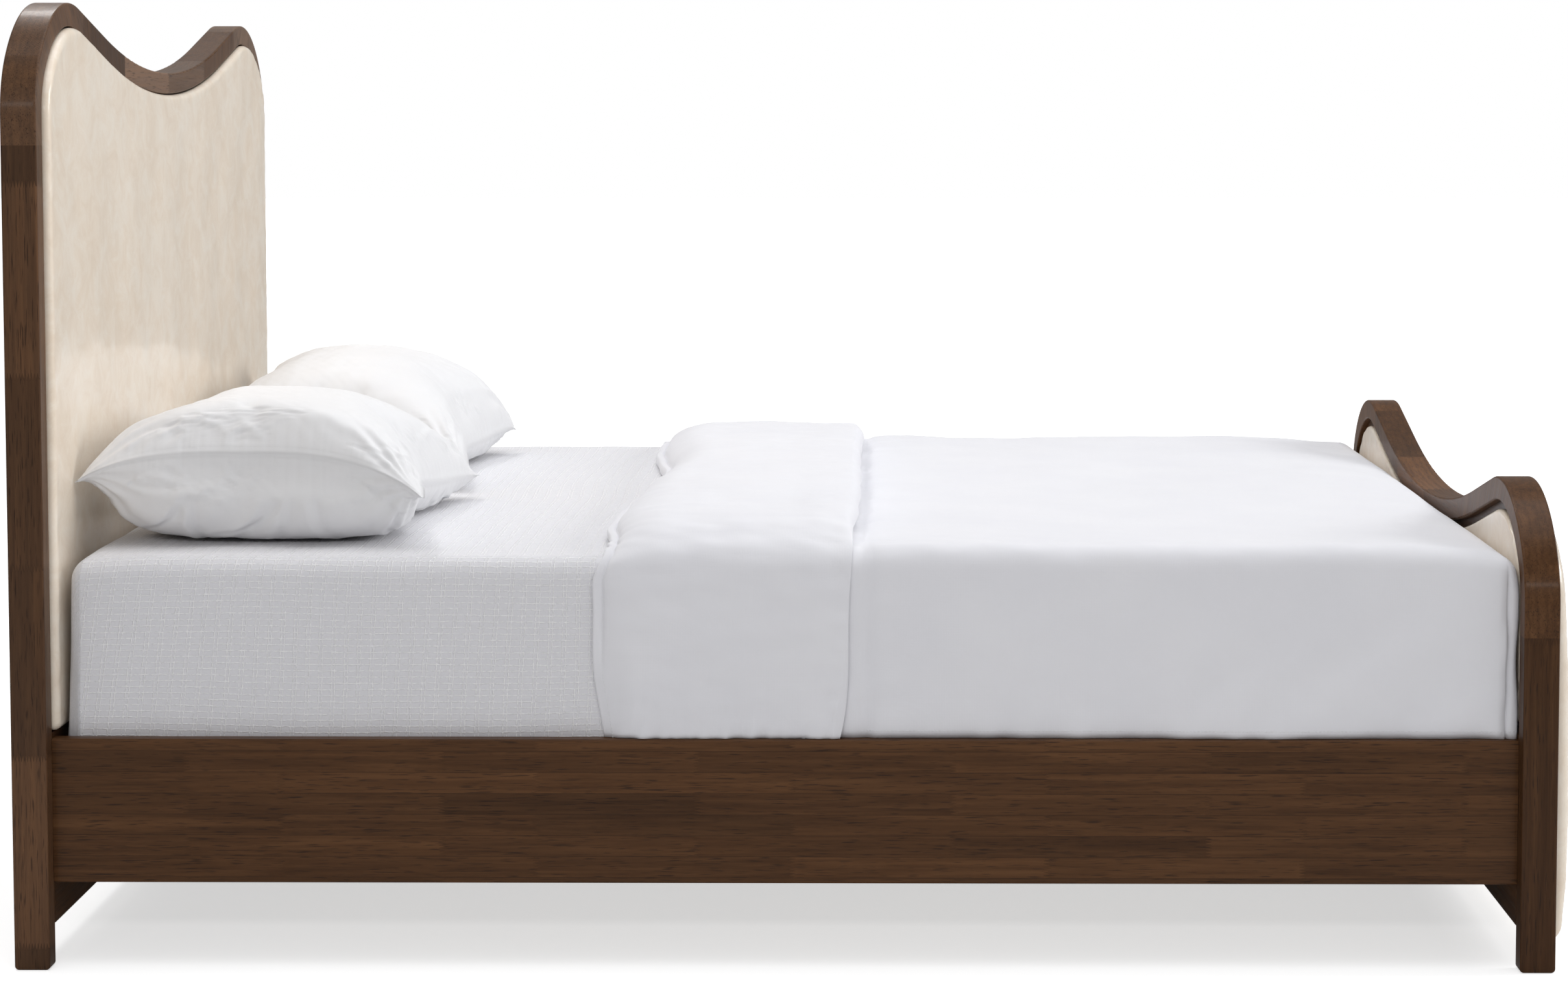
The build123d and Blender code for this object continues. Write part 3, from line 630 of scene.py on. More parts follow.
def along_path(name, paths, tree, closed=False, **inputs):
    """Runs a geometry tree along one or more paths and keeps the result as a plain mesh."""
    points, edges = [], []
    for path in paths:
        first = len(points)
        points += [tuple(p) for p in path]
        edges += [(k, k + 1) for k in range(first, len(points) - 1)]
        if closed:
            edges.append((len(points) - 1, first))
    wire = bpy.data.meshes.new(name + "_path")
    wire.from_pydata(points, edges, [])
    carrier = placed(name + "_path", wire)
    worker = carrier.modifiers.new("made", "NODES")
    worker.node_group = tree
    for item in tree.interface.items_tree:
        if item.item_type == "SOCKET" and item.in_out == "INPUT" and item.name in inputs:
            worker[item.identifier] = inputs[item.name]
    mesh = evaluated(carrier)
    carrier.modifiers.clear()
    bpy.data.objects.remove(carrier)
    mesh.name = name
    return placed(name, mesh)


# ---------------------------------------------------------------- pillows

GROWN = 1.19                 # a flat pillow cover is this much larger than the filled one
FRAMES, EASING = ((46, 70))


def sewn_creases(piece, half_x, half_y, seed, outer_side):
    """Puckers along a pillow's seam, creases fanning out of its corners and a few long folds."""
    mesh = piece.data
    co, normal = read(mesh.vertices, "co", 3), read(mesh.vertices, "normal", 3)
    place = np.zeros((len(co), 2))
    place[loop_points(mesh)] = read(mesh.uv_layers["cloth"].data, "uv", 2)
    p, q = place.T
    side = np.where(normal[:, 2] > 0, 0.0, 0.5)
    from_x, from_y = np.maximum(half_x - np.abs(p), 0), np.maximum(half_y - np.abs(q), 0)
    edge_in = np.minimum(from_x, from_y)

    def crumples(stretch, spacing, number, octaves):
        return ripple(np.column_stack([place * stretch, side]), spacing, seed + number, octaves)

    along_y = ripple(np.column_stack([q, side + np.sign(p)]), 0.026, seed, 3)
    along_x = ripple(np.column_stack([p, side + np.sign(q)]), 0.026, seed + 1, 3)
    push = 0.0011 * (fade(from_x, 0.030) * along_y + fade(from_y, 0.030) * along_x) * share(edge_in / 0.006)
    for k, (sx, sy) in enumerate(((1, 1), (1, -1), (-1, 1), (-1, -1))):
        a, b = half_x - sx * p, half_y - sy * q
        r, turn = np.hypot(a, b), np.arctan2(np.maximum(b, 0), np.maximum(a, 1e-6))
        fan = np.sin(turn * (19 + 4 * (k % 2)) + 1.9 * k + seed + 1.8 * np.sin(r * 22 + k) + side * 4)
        push += 0.0023 * bell(r - 0.095, 0.062) * fan * np.sqrt(share(np.sin(2 * turn)))
    rng = np.random.default_rng(seed + 50)
    long_folds, pulls = 12, 6
    for number in range(long_folds + pulls):
        corner = np.array([rng.choice([-1, 1]) * half_x * 0.72, rng.choice([-1, 1]) * half_y * 0.74])
        way = -corner / np.linalg.norm(corner) + rng.normal(size=2) * 0.45
        face = rng.choice([-1, 1])
        if number >= long_folds:
            # Slanting pulls below the outer seam, where the filling hangs.
            corner = np.array([rng.uniform(-0.45, 0.35) * half_x, outer_side * half_y * 0.985])
            way = np.array([-0.55 + 0.35 * rng.normal(), -outer_side])
            face = -1
        way /= np.linalg.norm(way)
        length, width = rng.uniform(0.10, 0.22), rng.uniform(0.007, 0.013)
        step = place - corner
        t = step @ way
        w = step @ np.array([-way[1], way[0]]) - rng.uniform(-1.6, 1.6) * t ** 2
        window = bell(t / length - 0.5, 0.36) * share(0.5 + 5 * face * normal[:, 2])
        fold_line = 0.75 * bell(w - 1.6 * width, width) - bell(w, width)
        push += rng.uniform(0.0012, 0.0022) * (1.0 if face > 0 else 2.2) * window * fold_line
    push += 0.0011 * crumples([1, 0.6], 0.075, 2, 3) * share(edge_in / 0.03)
    sharp = 1 - 2 * np.abs(crumples([0.8, 1.3], 0.052, 7, 3))
    patches = share(crumples([1, 1], 0.17, 8, 2) * 2.0 + 0.1)
    push += 0.0034 * sharp * patches * bell(edge_in - 0.045, 0.034)
    # A raised seam with a fine groove beside it.
    push += np.where(edge_in < 0.0012, 0.0032, np.where(edge_in < 0.006, -0.0008, 0))
    co += normal * push[:, None]
    mesh.vertices.foreach_set("co", co.ravel())
    mesh.update()


def eased(points, sheets, rounds, kept):
    """Draws the deep buckles out of two sewn sheets; kept is the share that stays at each point."""
    calm = points.copy()
    for _ in range(rounds):
        for number, ids in enumerate(sheets):
            g = calm[ids]
            near = (g[:-2, 1:-1] + g[2:, 1:-1] + g[1:-1, :-2] + g[1:-1, 2:]) / 4
            if number == 0:
                for edge in 3 * (np.s_[0], np.s_[-1], np.s_[:, 0], np.s_[:, -1]):
                    line = g[edge]
                    line[1:-1] = 0.5 * line[1:-1] + 0.25 * (line[:-2] + line[2:])
            g[1:-1, 1:-1] = 0.5 * g[1:-1, 1:-1] + 0.5 * near
            calm[ids] = g
    return calm + kept[:, None] * (points - calm)


def inflated(piece):
    """Blows a sewn cover up as cloth, without weight, and gives its points."""
    cloth = piece.modifiers.new("inflate", "CLOTH")
    for label, value in (("quality", 6), ("mass", 0.25), ("tension_stiffness", 22),
                         ("compression_stiffness", 22), ("shear_stiffness", 6), ("bending_stiffness", 0.35),
                         ("use_pressure", True), ("uniform_pressure_force", 7.5)):
        setattr(cloth.settings, label, value)
    cloth.settings.effector_weights.gravity = 0
    cloth.collision_settings.use_collision = False
    cloth.point_cache.frame_start, cloth.point_cache.frame_end = 1, 46
    for number in range(1, FRAMES + 1):
        bpy.context.scene.frame_set(number)
    apply_modifiers(piece)
    return read(piece.data.vertices, "co", 3)


def make_pillow(name, node, seed, droop, lift, twist, shrink):
    """A stuffed pillow: two sewn sheets blown up as cloth, then settled on the bed."""
    lo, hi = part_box(node)
    size = hi - lo
    nu, nv = ((44, 56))
    uu, vv = np.meshgrid(np.linspace(-0.5, 0.5, nu), np.linspace(-0.5, 0.5, nv), indexing="ij")
    bow, start_puff = 0.012, 0.012
    x = uu * size.x * GROWN * (1 - bow * (1 - (2 * vv) ** 2))
    y = vv * size.y * GROWN * (1 - bow * (1 - (2 * uu) ** 2))
    puff = start_puff * (1 - (2 * uu) ** 2) * (1 - (2 * vv) ** 2)
    flat_map = np.stack([uu * size.x * GROWN, vv * size.y * GROWN], -1).reshape(-1, 2)
    lump = 0.0006 * ripple(flat_map, 0.16, seed, 2).reshape(uu.shape) * (puff > 0.0005)
    top = np.stack([x, y, puff + lump], -1).reshape(-1, 3)
    under = np.stack([x, y, -puff + lump], -1).reshape(-1, 3)
    n = nu * nv
    border, quads = grid_border(nu, nv), grid_faces(nu, nv)
    keep, number = welded(2 * n, n + border, border)
    flat = np.concatenate([flat_map, flat_map])[keep]
    piece = face_out(new_piece(name, np.concatenate([top, under])[keep],
                               number[np.concatenate([quads, quads[:, ::-1] + n])], flat))
    co = inflated(piece)
    half_x, half_y = size.x * GROWN / 2, size.y * GROWN / 2
    from_seam = np.minimum(half_x - np.abs(flat[:, 0]), half_y - np.abs(flat[:, 1]))
    index = np.arange(n).reshape(nu, nv)
    co = eased(co, (index, number[n + index]), EASING, 0.30 * share(from_seam / 0.09))
    # Its box becomes the node's, fuller towards the middle of its ends and of its height.
    co -= (co.max(0) + co.min(0)) / 2
    reach = co.max(0) - co.min(0)
    co[:, 0] *= size.x / reach[0] * (1 + 0.12 * (1 - (2 * co[:, 1] / reach[1]) ** 2))
    co[:, 1] *= size.y / reach[1]
    co[:, 2] = np.sign(co[:, 2]) * 0.57 * size.z * (np.abs(co[:, 2]) / (0.5 * reach[2])) ** 0.78
    # Its outer seam is pushed up by the belly below it.
    outer_side = -1 if lo.y < 0 else 1
    edge_in = np.maximum(0.5 * size.y - outer_side * co[:, 1], 0)
    middle = share(1 - (2 * co[:, 0] / size.x) ** 2) ** 0.8
    co[:, 2] += 0.066 * middle * bell(edge_in, 0.135)
    # It settles: the underside flattens on the bed and the edge towards the foot droops.
    forward = share(co[:, 0] / size.x + 0.1) ** 1.5
    co[:, 2] += forward * (droop + twist * share(2 * co[:, 1] / size.y))
    co[:, 2] += lift * share(-2 * co[:, 0] / size.x) ** 1.5
    low = -0.5 * size.z * 0.80
    co[:, 2] = np.where(co[:, 2] < 0, low * share(-co[:, 2] / (0.5 * size.z)) ** 0.55, co[:, 2])
    bed, soft = low + 0.11 * size.z, 0.009
    depth = (co[:, 2] - bed) / soft
    co[:, 2] = bed + soft * np.where(depth > 8, depth, np.log1p(np.exp(np.clip(depth, -30, 8))))
    co[:, 2] -= co[:, 2].min()
    co[:, 2] *= size.z / co[:, 2].max()
    # The filling hangs out below that seam and stands up above it.
    from_outer = half_y - outer_side * flat[:, 1]
    hang = share(from_outer / 0.06) ** 1.3 * share((0.27 - from_outer) / 0.13)
    stand = bell(from_outer - 0.060, 0.050) * share(from_outer / 0.02)
    below = np.arange(len(co)) >= n
    co[:, 1] += outer_side * np.where(below, 0.042 * middle ** 0.6 * hang, 0)
    co[:, 2] += np.where(below, 0, 0.006 * middle * stand)
    head_end = -0.5 * size.x
    co[:, 0] = head_end + (co[:, 0] - head_end) * (1 - shrink * share(co[:, 0] / size.x + 0.5))
    co += [(lo.x + hi.x) / 2, (lo.y + hi.y) / 2, lo.z]
    piece.data.vertices.foreach_set("co", co.ravel())
    piece.data.update()
    smooth = piece.modifiers.new("smooth", "SUBSURF")
    smooth.levels = smooth.render_levels = 2
    apply_modifiers(piece)
    sewn_creases(piece, half_x, half_y, seed, outer_side)
    piece.data.shade_smooth()
    return piece


near_pillow = make_pillow("pillow_near", "pillow_left", 11,
                          droop=0.0, lift=0.022, twist=-0.030, shrink=-0.012)
far_pillow = make_pillow("pillow_far", "pillow_right", 12,
                         droop=-0.033, lift=0.015, twist=0.0, shrink=0.03)


# ---------------------------------------------------------------- materials

class Finish:
    """A material and the nodes that make it."""

    def __init__(self, name):
        self.material = bpy.data.materials.new(name)
        self.material.use_nodes = True
        self.tree = self.material.node_tree
        self.shader = self.tree.nodes["Principled BSDF"]

    def out(self, kind, inputs=(), output=0, **settings):
        """Adds a node and gives one of its outputs."""
        return add_node(self.tree, "ShaderNode" + kind, inputs, **settings).outputs[output]

    def place(self):
        """The piece's own coordinates."""
        return self.out("TexCoord", output=3)

    def math(self, operation, a, b):
        return self.out("Math", {0: a, 1: b}, operation=operation)

    def vector(self, operation, a, b):
        return self.out("VectorMath", {0: a, 1: b}, operation=operation)

    def turned(self, place, *degrees):
        return self.out("Mapping", {"Vector": place, "Rotation": [math.radians(d) for d in degrees]})

    def noise(self, place, scale, detail, roughness=0.5, distortion=0.0, at=(0, 0, 0), output=0):
        """Noise of one scale, or of a scale for each direction."""
        if isinstance(scale, tuple):
            place, scale = self.out("Mapping", {"Vector": place, "Scale": scale, "Location": at}), 1.0
        return self.out("TexNoise", {"Vector": place, "Scale": scale, "Detail": detail,
                                     "Roughness": roughness, "Distortion": distortion}, output)

    def wave(self, place, scale, direction, **inputs):
        """Parallel bands across one direction."""
        return self.out("TexWave", {"Vector": place, "Scale": scale, **inputs}, 1, bands_direction=direction)

    def ramp(self, factor, *stops):
        """A ramp whose stops are a place and a colour or a grey."""
        made = add_node(self.tree, "ShaderNodeValToRGB", {0: factor})
        bar = made.color_ramp
        while len(bar.elements) < len(stops):
            bar.elements.new(0.5)
        for element, (place, colour) in zip(bar.elements, stops):
            element.position = place
            element.color = (*colour, 1) if isinstance(colour, (tuple, list)) else (colour,) * 3 + (1,)
        return made.outputs[0]

    def mix(self, factor, a, b, blend="MIX"):
        made = add_node(self.tree, "ShaderNodeMix", data_type="RGBA", blend_type=blend)
        for socket, value in ((0, factor), (6, a), (7, b)):
            feed(self.tree, made.inputs[socket], value)
        return made.outputs[2]

    def bump(self, height, distance, strength, under=None):
        inputs = {"Height": height, "Distance": distance, "Strength": strength}
        return self.out("Bump", inputs if under is None else {**inputs, "Normal": under})

    def made(self, **inputs):
        """Feeds the shader and gives the material."""
        for label, value in inputs.items():
            feed(self.tree, self.shader.inputs[label.replace("_", " ")], value)
        return self.material


def walnut(name, along, seed, staves=None, blocks=None, tone=1.0, grey_and_sheen=0.0):
    """Stained, finger-jointed wood.

    along is the grain's direction: x, y, z or a slant in degrees about X. staves gives the
    length and height of edge-glued strips; blocks gives the length of the end-glued blocks
    and the place of one joint. The last argument is a grey tint over the stain: partly the
    wood's own greyer tone, partly painted sheen, strongest on the headboard's crest and far ear.
    """
    f = Finish(name)
    place = turned = f.place()
    if along == "z":
        turned = f.turned(place, 0, 90, 0)
    elif along != "x":
        turned = f.turned(place if along == "y" else f.turned(place, along, 0, 0), 0, 0, -90)
    x, y, z = add_node(f.tree, "ShaderNodeSeparateXYZ", {0: turned}).outputs
    teeth = f.math("PINGPONG", f.math("ADD", z, f.math("MULTIPLY", y, 0.9)), 0.0021)
    toothed = f.math("ADD", x, f.math("MULTIPLY", teeth, 5.0))
    if staves:
        tones = ((0.0, 0.74), (0.16, 0.90), (0.30, 0.99), (0.85, 1.05), (1.0, 1.15))
        across = f.math("ADD", z, f.math("MULTIPLY", y, 0.35))
        cell = f.out("CombineXYZ", {0: f.math("ADD", toothed, seed * 0.137), 1: across, 2: 0.0})
        block, joint = add_node(f.tree, "ShaderNodeTexBrick", {
            "Vector": cell, "Color1": (0, 0, 0), "Color2": (1, 1, 1), "Mortar": (.5, .5, .5),
            "Scale": 1.0, "Mortar Size": 0.0004, "Mortar Smooth": 0.3, "Bias": 0.0,
            "Brick Width": staves[0], "Row Height": staves[1]}, offset=0.37, offset_frequency=2).outputs
    else:
        tones = ((0.0, 0.74), (0.45, 0.96), (0.85, 1.08), (1.0, 1.30))
        length, edge = blocks
        counted = f.math("DIVIDE", f.math("SUBTRACT", toothed, edge), length)
        number = f.math("ADD", f.math("FLOOR", counted, 0.0), seed * 3.7)
        block = f.out("TexWhiteNoise", {"W": number}, noise_dimensions="1D")
        joint = f.out("MapRange", {"Value": f.math("MULTIPLY", f.math("PINGPONG", counted, 0.5), length),
                                   "From Min": 0.0002, "From Max": 0.0009, "To Min": 1.0, "To Max": 0.0})
    moved = f.vector("ADD", turned, f.vector("MULTIPLY", block, (3.7, 9.1 + seed, 5.3)))
    broad = f.noise(moved, (1.6, 17, 17), 2.0, distortion=0.9)
    figure = f.noise(moved, (2.3, 52, 52), 6.0, 0.66, 0.5)
    rings = f.wave(f.out("Mapping", {"Vector": moved, "Scale": (0.9, 17, 17)}), 1.7, "Y", Distortion=7.0,
                   Detail=3.0, **{"Detail Scale": 1.2, "Detail Roughness": 0.6})
    fibre = f.noise(moved, (7, 230, 230), 4.0, 0.62)
    pores = f.noise(moved, (30, 620, 620), 1.0)

    # Tone scales the stain; the grey added on top is partly the wood's own greyer tone and partly painted
    # sheen.
    def stain_and_sheen(red, green, blue):
        return (red * tone + grey_and_sheen, green * tone + grey_and_sheen * 0.90, blue * 0.90 * tone + grey_and_sheen * 0.78)

    colour = f.ramp(figure, (0.30, stain_and_sheen(0.052, 0.0220, 0.0090)), (0.50, stain_and_sheen(0.087, 0.0375, 0.0155)),
                    (0.72, stain_and_sheen(0.124, 0.0560, 0.0245)))
    for layer, stops, shade in (
        (broad, ((0.35, 0.38), (0.62, 0.0)), stain_and_sheen(0.050, 0.0205, 0.0085)),
        (rings, ((0.55, 0.0), (0.95, 0.34)), stain_and_sheen(0.040, 0.0160, 0.0065)),
        (fibre, ((0.42, 0.0), (0.74, 0.34)), stain_and_sheen(0.148, 0.0700, 0.0320)),
        (pores, ((0.60, 0.0), (0.70, 0.70)), (0.020, 0.010, 0.006)),
    ):
        colour = f.mix(f.ramp(layer, *stops), colour, shade)
    colour = f.mix(1.0, colour, f.ramp(block, *tones), "MULTIPLY")
    colour = f.mix(f.math("MULTIPLY", joint, 0.65), colour, (0.016, 0.008, 0.004))
    sanded = f.math("ADD", f.math("MULTIPLY", pores, -0.8), f.math("MULTIPLY", fibre, 0.6))
    peel = f.noise(place, 210.0, 2.0)
    return f.made(Base_Color=colour, Roughness=f.ramp(fibre, (0.3, 0.34), (0.8, 0.48)),
                  Specular_IOR_Level=0.10, Coat_Weight=0.09, Coat_Roughness=0.13,
                  Normal=f.bump(peel, 0.00025, 0.35, f.bump(sanded, 0.00020, 0.5)))


def pale_timber(name, along, dark, light, seed):
    """Planed softwood or plywood under the bed."""
    f = Finish(name)
    place = f.place()

    def scale(grain, across):
        return tuple(grain if axis == along else across for axis in "xyz")

    figure = f.noise(place, scale(1.4, 26), 5.0, distortion=1.4, at=(seed, 0, 0))
    fibre = f.noise(place, scale(12, 330), 2.0)
    colour = f.mix(f.math("MULTIPLY", fibre, 0.35), f.ramp(figure, (0.3, dark), (0.7, light)),
                   [c * 0.72 for c in dark])
    return f.made(Base_Color=colour, Roughness=f.ramp(fibre, (0.3, 0.55), (0.8, 0.72)),
                  Normal=f.bump(fibre, 0.0003, 0.6))


def cream_leather():
    """Soft, cloudy hide with pale and tan marks and a fine grain."""
    f = Finish("Cream_leather")
    place = f.place()
    cloud = f.noise(place, (7, 7, 4), 5.0, 0.55, 0.4)
    streak = f.noise(place, (24, 17, 20), 7.0, 0.68, 0.8)
    fleck = f.noise(place, (90, 70, 60), 4.0, 0.6, 0.8, at=(3, 1, 2))
    grain = f.out("TexVoronoi", {"Vector": place, "Scale": 620.0, "Randomness": 0.9},
                  feature="DISTANCE_TO_EDGE")
    colour = f.ramp(cloud, (0.32, (0.812, 0.692, 0.556)), (0.52, (0.850, 0.742, 0.612)),
                    (0.72, (0.880, 0.784, 0.662)))
    colour = f.mix(f.ramp(streak, (0.36, 0.55), (0.50, 0.0)), colour, (0.905, 0.830, 0.720))
    colour = f.mix(f.ramp(streak, (0.50, 0.0), (0.68, 0.50)), colour, (0.752, 0.612, 0.470))
    colour = f.mix(f.ramp(fleck, (0.55, 0.0), (0.75, 0.30)), colour, (0.915, 0.850, 0.752))
    return f.made(Base_Color=colour, Roughness=f.ramp(streak, (0.3, 0.34), (0.7, 0.44)),
                  Coat_Weight=0.55, Coat_Roughness=0.13,
                  Normal=f.bump(f.noise(place, 900.0, 2.0), 0.00012, 0.35, f.bump(grain, 0.00035, 0.30)))


def cotton(name, colour_low, colour_high, seed):
    """Smooth percale: a fine weave under soft, broad creases."""
    f = Finish(name)
    place, uv, threads = f.place(), f.out("UVMap", uv_map="cloth"), 260.0
    crease = f.noise(place, (9, 6, 9), 5.0, 0.48, 0.9, at=(seed, 0, 0))
    weave = f.math("MAXIMUM", *(f.wave(uv, threads, way, Distortion=0.4, Detail=1.0) for way in "XY"))
    colour = f.ramp(f.noise(place, 7.0, 4.0), (0.3, colour_low), (0.7, colour_high))
    return f.made(Base_Color=f.mix(f.math("MULTIPLY", weave, 0.06), colour, (1, 1, 1)), Roughness=0.82,
                  Sheen_Weight=0.18, Sheen_Roughness=0.5,
                  Normal=f.bump(weave, 0.00015, 0.4, f.bump(crease, 0.0040, 0.35)))


def ladder_weave():
    """Pairs of raised threads joined by fine rungs, over a plain ground painted darker as shade between them.
    """
    f = Finish("Ladder_weave_cotton")
    uv = f.out("UVMap", uv_map="cloth")

    def strayed(scale, reach):
        drift = f.vector("SUBTRACT", f.noise(uv, scale, 1.0, output=1), (0.5, 0.5, 0.5))
        return f.vector("MULTIPLY", drift, reach)

    moved = f.vector("ADD", f.vector("ADD", uv, strayed(2.3, (0.034, 0.018, 0.0))),
                     strayed(95.0, (0.0022, 0.0022, 0.0)))
    u, v, _ = add_node(f.tree, "ShaderNodeSeparateXYZ", {0: moved}).outputs
    pair, split, rung = 0.0184, 0.0047, 0.0086

    def thread(coordinate, pitch, place, width):
        off = f.math("PINGPONG", f.math("ADD", coordinate, 10 * pitch + place), pitch / 2)
        return f.out("MapRange", {"Value": off, "From Min": width * 0.25, "From Max": width,
                                  "To Min": 1.0, "To Max": 0.0}, interpolation_type="SMOOTHSTEP")

    uprights = f.math("MAXIMUM", thread(u, pair, 0.0, 0.0011), thread(u, pair, split, 0.0011))
    rungs = f.math("MULTIPLY", thread(v, rung, 0.0, 0.0012), 0.90)
    uneven = f.ramp(f.noise(uv, 210.0, 2.0), (0.36, 0.15), (0.60, 1.0))
    raised = f.math("MULTIPLY", f.math("MAXIMUM", uprights, rungs), uneven)
    height = f.math("ADD", raised, f.math("MULTIPLY", f.noise(uv, 520.0, 3.0, 0.7), 0.35))
    # Colour follows the weave's height: the hollows between raised threads are painted darker as shade.
    colour = f.ramp(height, (0.10, (0.700, 0.698, 0.730)), (0.50, (0.790, 0.787, 0.814)),
                    (1.10 / 1.35, (0.935, 0.932, 0.945)))
    return f.made(Base_Color=colour, Roughness=0.9, Sheen_Weight=0.15, Sheen_Roughness=0.6,
                  Normal=f.bump(height, 0.0013, 0.8))


def steel(name, colour, roughness):
    f = Finish(name)
    place = f.place()
    brushed = f.noise(place, (900, 900, 40), 2.0)
    stained = f.ramp(f.noise(place, 60.0, 4.0), (0.3, [c * 0.82 for c in colour]), (0.7, colour))
    return f.made(Base_Color=stained, Metallic=1.0, Normal=f.bump(brushed, 0.00005, 0.4),
                  Roughness=f.ramp(brushed, (0.2, roughness - .08), (0.8, roughness + .10)))


def moulded_plastic():
    f = Finish("Moulded_plastic")
    spark = f.noise(f.place(), 1400.0, 2.0)
    return f.made(Base_Color=f.ramp(spark, (0.3, 0.022), (0.7, 0.034)),
                  Roughness=f.ramp(spark, (0.3, 0.44), (0.7, 0.58)), Normal=f.bump(spark, 0.0001, 0.5))


def ticking():
    """Knitted mattress ticking with a diagonal quilted pattern."""
    f = Finish("Mattress_ticking")
    place = f.place()
    diagonal = f.turned(place, 0, 0, 45)
    quilt = f.math("MINIMUM", f.wave(diagonal, 4.2, "X"), f.wave(diagonal, 4.2, "Y"))
    knit = f.noise(place, 700.0, 2.0)
    return f.made(Base_Color=f.ramp(knit, (0.3, (0.70, 0.70, 0.69)), (0.7, (0.80, 0.80, 0.79))),
                  Roughness=0.9, Normal=f.bump(knit, 0.0002, 0.5, f.bump(quilt, 0.004, 0.5)))


def sewing_thread():
    f = Finish("Sewing_thread")
    twist = f.wave(f.place(), 900.0, "DIAGONAL", Distortion=1.0)
    return f.made(Base_Color=f.ramp(twist, (0.2, (0.70, 0.70, 0.72)), (0.8, (0.80, 0.80, 0.82))),
                  Roughness=0.7, Normal=f.bump(twist, 0.0001, 0.5))


def dress(material, *pieces):
    """Gives each piece, or node of that name, one material over all of it."""
    for piece in pieces:
        slots = (nodes[piece] if isinstance(piece, str) else piece).data.materials
        slots.clear()
        slots.append(material)


# Grain, seed, block length and joint, tone and grey tint of each rim piece, the grey partly the
# wood's own and partly painted sheen; posts and shoulders have a block joint in sight.
RIM_WOODS = {
    "headboard": {
        "post_left": ("z", 7, (0.268, 1.111), 1.06, 0.013),
        "post_right": ("z", 7, (0.268, 1.111), 0.98, 0.012),
        # The headboard's far ear and crest carry the most grey: painted sheen where they catch light from
        # behind.
        "ear_left": (52, 3, (0.40, 0.10), 1.12, 0.022), "ear_right": (-52, 4, (0.42, 0.16), 1.14, 0.066),
        "shoulder_left": (78, 5, (0.30, 0.05), 0.86, 0.010),
        "shoulder_right": (-78, 6, (0.30, 0.08), 1.04, 0.014),
        "crest": ("y", 7, (0.31, 0.02), 1.16, 0.050),
    },
    "footboard": {
        "post_left": ("z", 11, (0.60, 0.474), 0.76, 0.0), "post_right": ("z", 12, (0.58, 0.474), 0.76, 0.0),
        "ear_left": (52, 13, (0.40, 0.10), 1.10, 0.002), "ear_right": (-52, 14, (0.42, 0.16), 1.18, 0.004),
        "shoulder_left": (62, 15, (0.30, 0.05), 1.00, 0.002),
        "shoulder_right": (-62, 16, (0.30, 0.08), 1.08, 0.003),
        "crest": ("y", 17, (0.31, 0.02), 1.22, 0.004),
    },
}
for end, pieces in RIM_WOODS.items():
    for part, (along, seed, blocks, tone, grey_and_sheen) in pieces.items():
        dress(walnut(f"Walnut_{end}_{part}", along, seed, None, blocks, tone, grey_and_sheen), f"{end}_{part}")
    dress(walnut(f"Walnut_{end}_lower_rail", "y", 31, (0.47, 0.0345)), f"{end}_lower_rail")
for side, seed in (("left", 21), ("right", 22)):
    dress(walnut(f"Walnut_side_rail_{side}", "x", seed, (0.36, 0.0300), tone=1.03), f"side_rail_{side}")
dress(walnut("Walnut_board", "y", 41, (3.0, 0.19), tone=0.9),
      "headboard_core_board", "headboard_back_panel", "footboard_inner_board", "footboard_outer_board")
dress(pale_timber("Slat_timber", "y", (0.42, 0.27, 0.145), (0.60, 0.43, 0.26), 1.0),
      "slats_head_end", "slats_foot_end", "headboard_battens", "footboard_battens",
      "headboard_dowels", "footboard_dowels")
dress(pale_timber("Beam_timber", "x", (0.38, 0.24, 0.13), (0.56, 0.39, 0.23), 2.0),
      "slat_ledge_left", "slat_ledge_right", "center_beam")
dress(pale_timber("Leg_timber", "z", (0.38, 0.24, 0.13), (0.56, 0.39, 0.23), 3.0),
      "center_leg_head", "center_leg_middle", "center_leg_foot")
dress(steel("Plated_steel", (0.56, 0.56, 0.55), 0.36),
      "rail_hook_plates", "rail_receiver_plates", "beam_hangers")
dress(steel("Zinc_screws", (0.62, 0.61, 0.56), 0.28),
      "bracket_screws", "ledge_screws", "slat_screws", "leg_studs", "leg_thread_inserts")
dress(moulded_plastic(), "leveling_foot_head", "leveling_foot_middle", "leveling_foot_foot")
percale = cotton("Duvet_percale", (0.750, 0.750, 0.788), (0.776, 0.775, 0.808), 1.0)
dress(percale, duvet, fold)
dress(cotton("Pillow_percale", (0.742, 0.742, 0.754), (0.772, 0.772, 0.784), 4.0), near_pillow, far_pillow)
dress(cream_leather(), head_pad, inner_pad, outer_pad)
dress(ladder_weave(), coverlet)
dress(ticking(), mattress)


# ---------------------------------------------------------------- sewing

def hem_row(piece, grid):
    """The second row of a cover's outer points, just above its hem."""
    length = 2 * grid[0] + grid[1] - 2
    return [piece.data.vertices[k].co.copy() for k in range(length, 2 * length)]


SEWN = dict(Thread=0.0012, Finish=sewing_thread())
stitch_work = path_tree("Running_stitches", ("Pitch", "Stitch", "Thread"), stitches)
beyond_band = [p for p in hem_row(duvet, DUVET_GRID) if p.x > FOLD_END + 0.012]
coverlet_stitches = along_path("coverlet_hem_stitches", [hem_row(coverlet, COVERLET_GRID)], stitch_work,
                               Pitch=0.0052, Stitch=0.0040, **SEWN)
duvet_stitches = along_path("duvet_hem_stitches",
                            [[p for p in beyond_band if (p.y < 0) == near] for near in (True, False)],
                            stitch_work, Pitch=0.0052, Stitch=0.0040, **SEWN)
flange_stitches = along_path("turnback_flange_stitches", [fold_seam], stitch_work,
                             Pitch=0.0048, Stitch=0.0038, **SEWN)
mattress_piping = along_path("mattress_piping", mattress_rims, path_tree("Piping", ("Radius",), piping), True,
                             Radius=0.0035, Finish=percale)


# ---------------------------------------------------------------- what rides on what

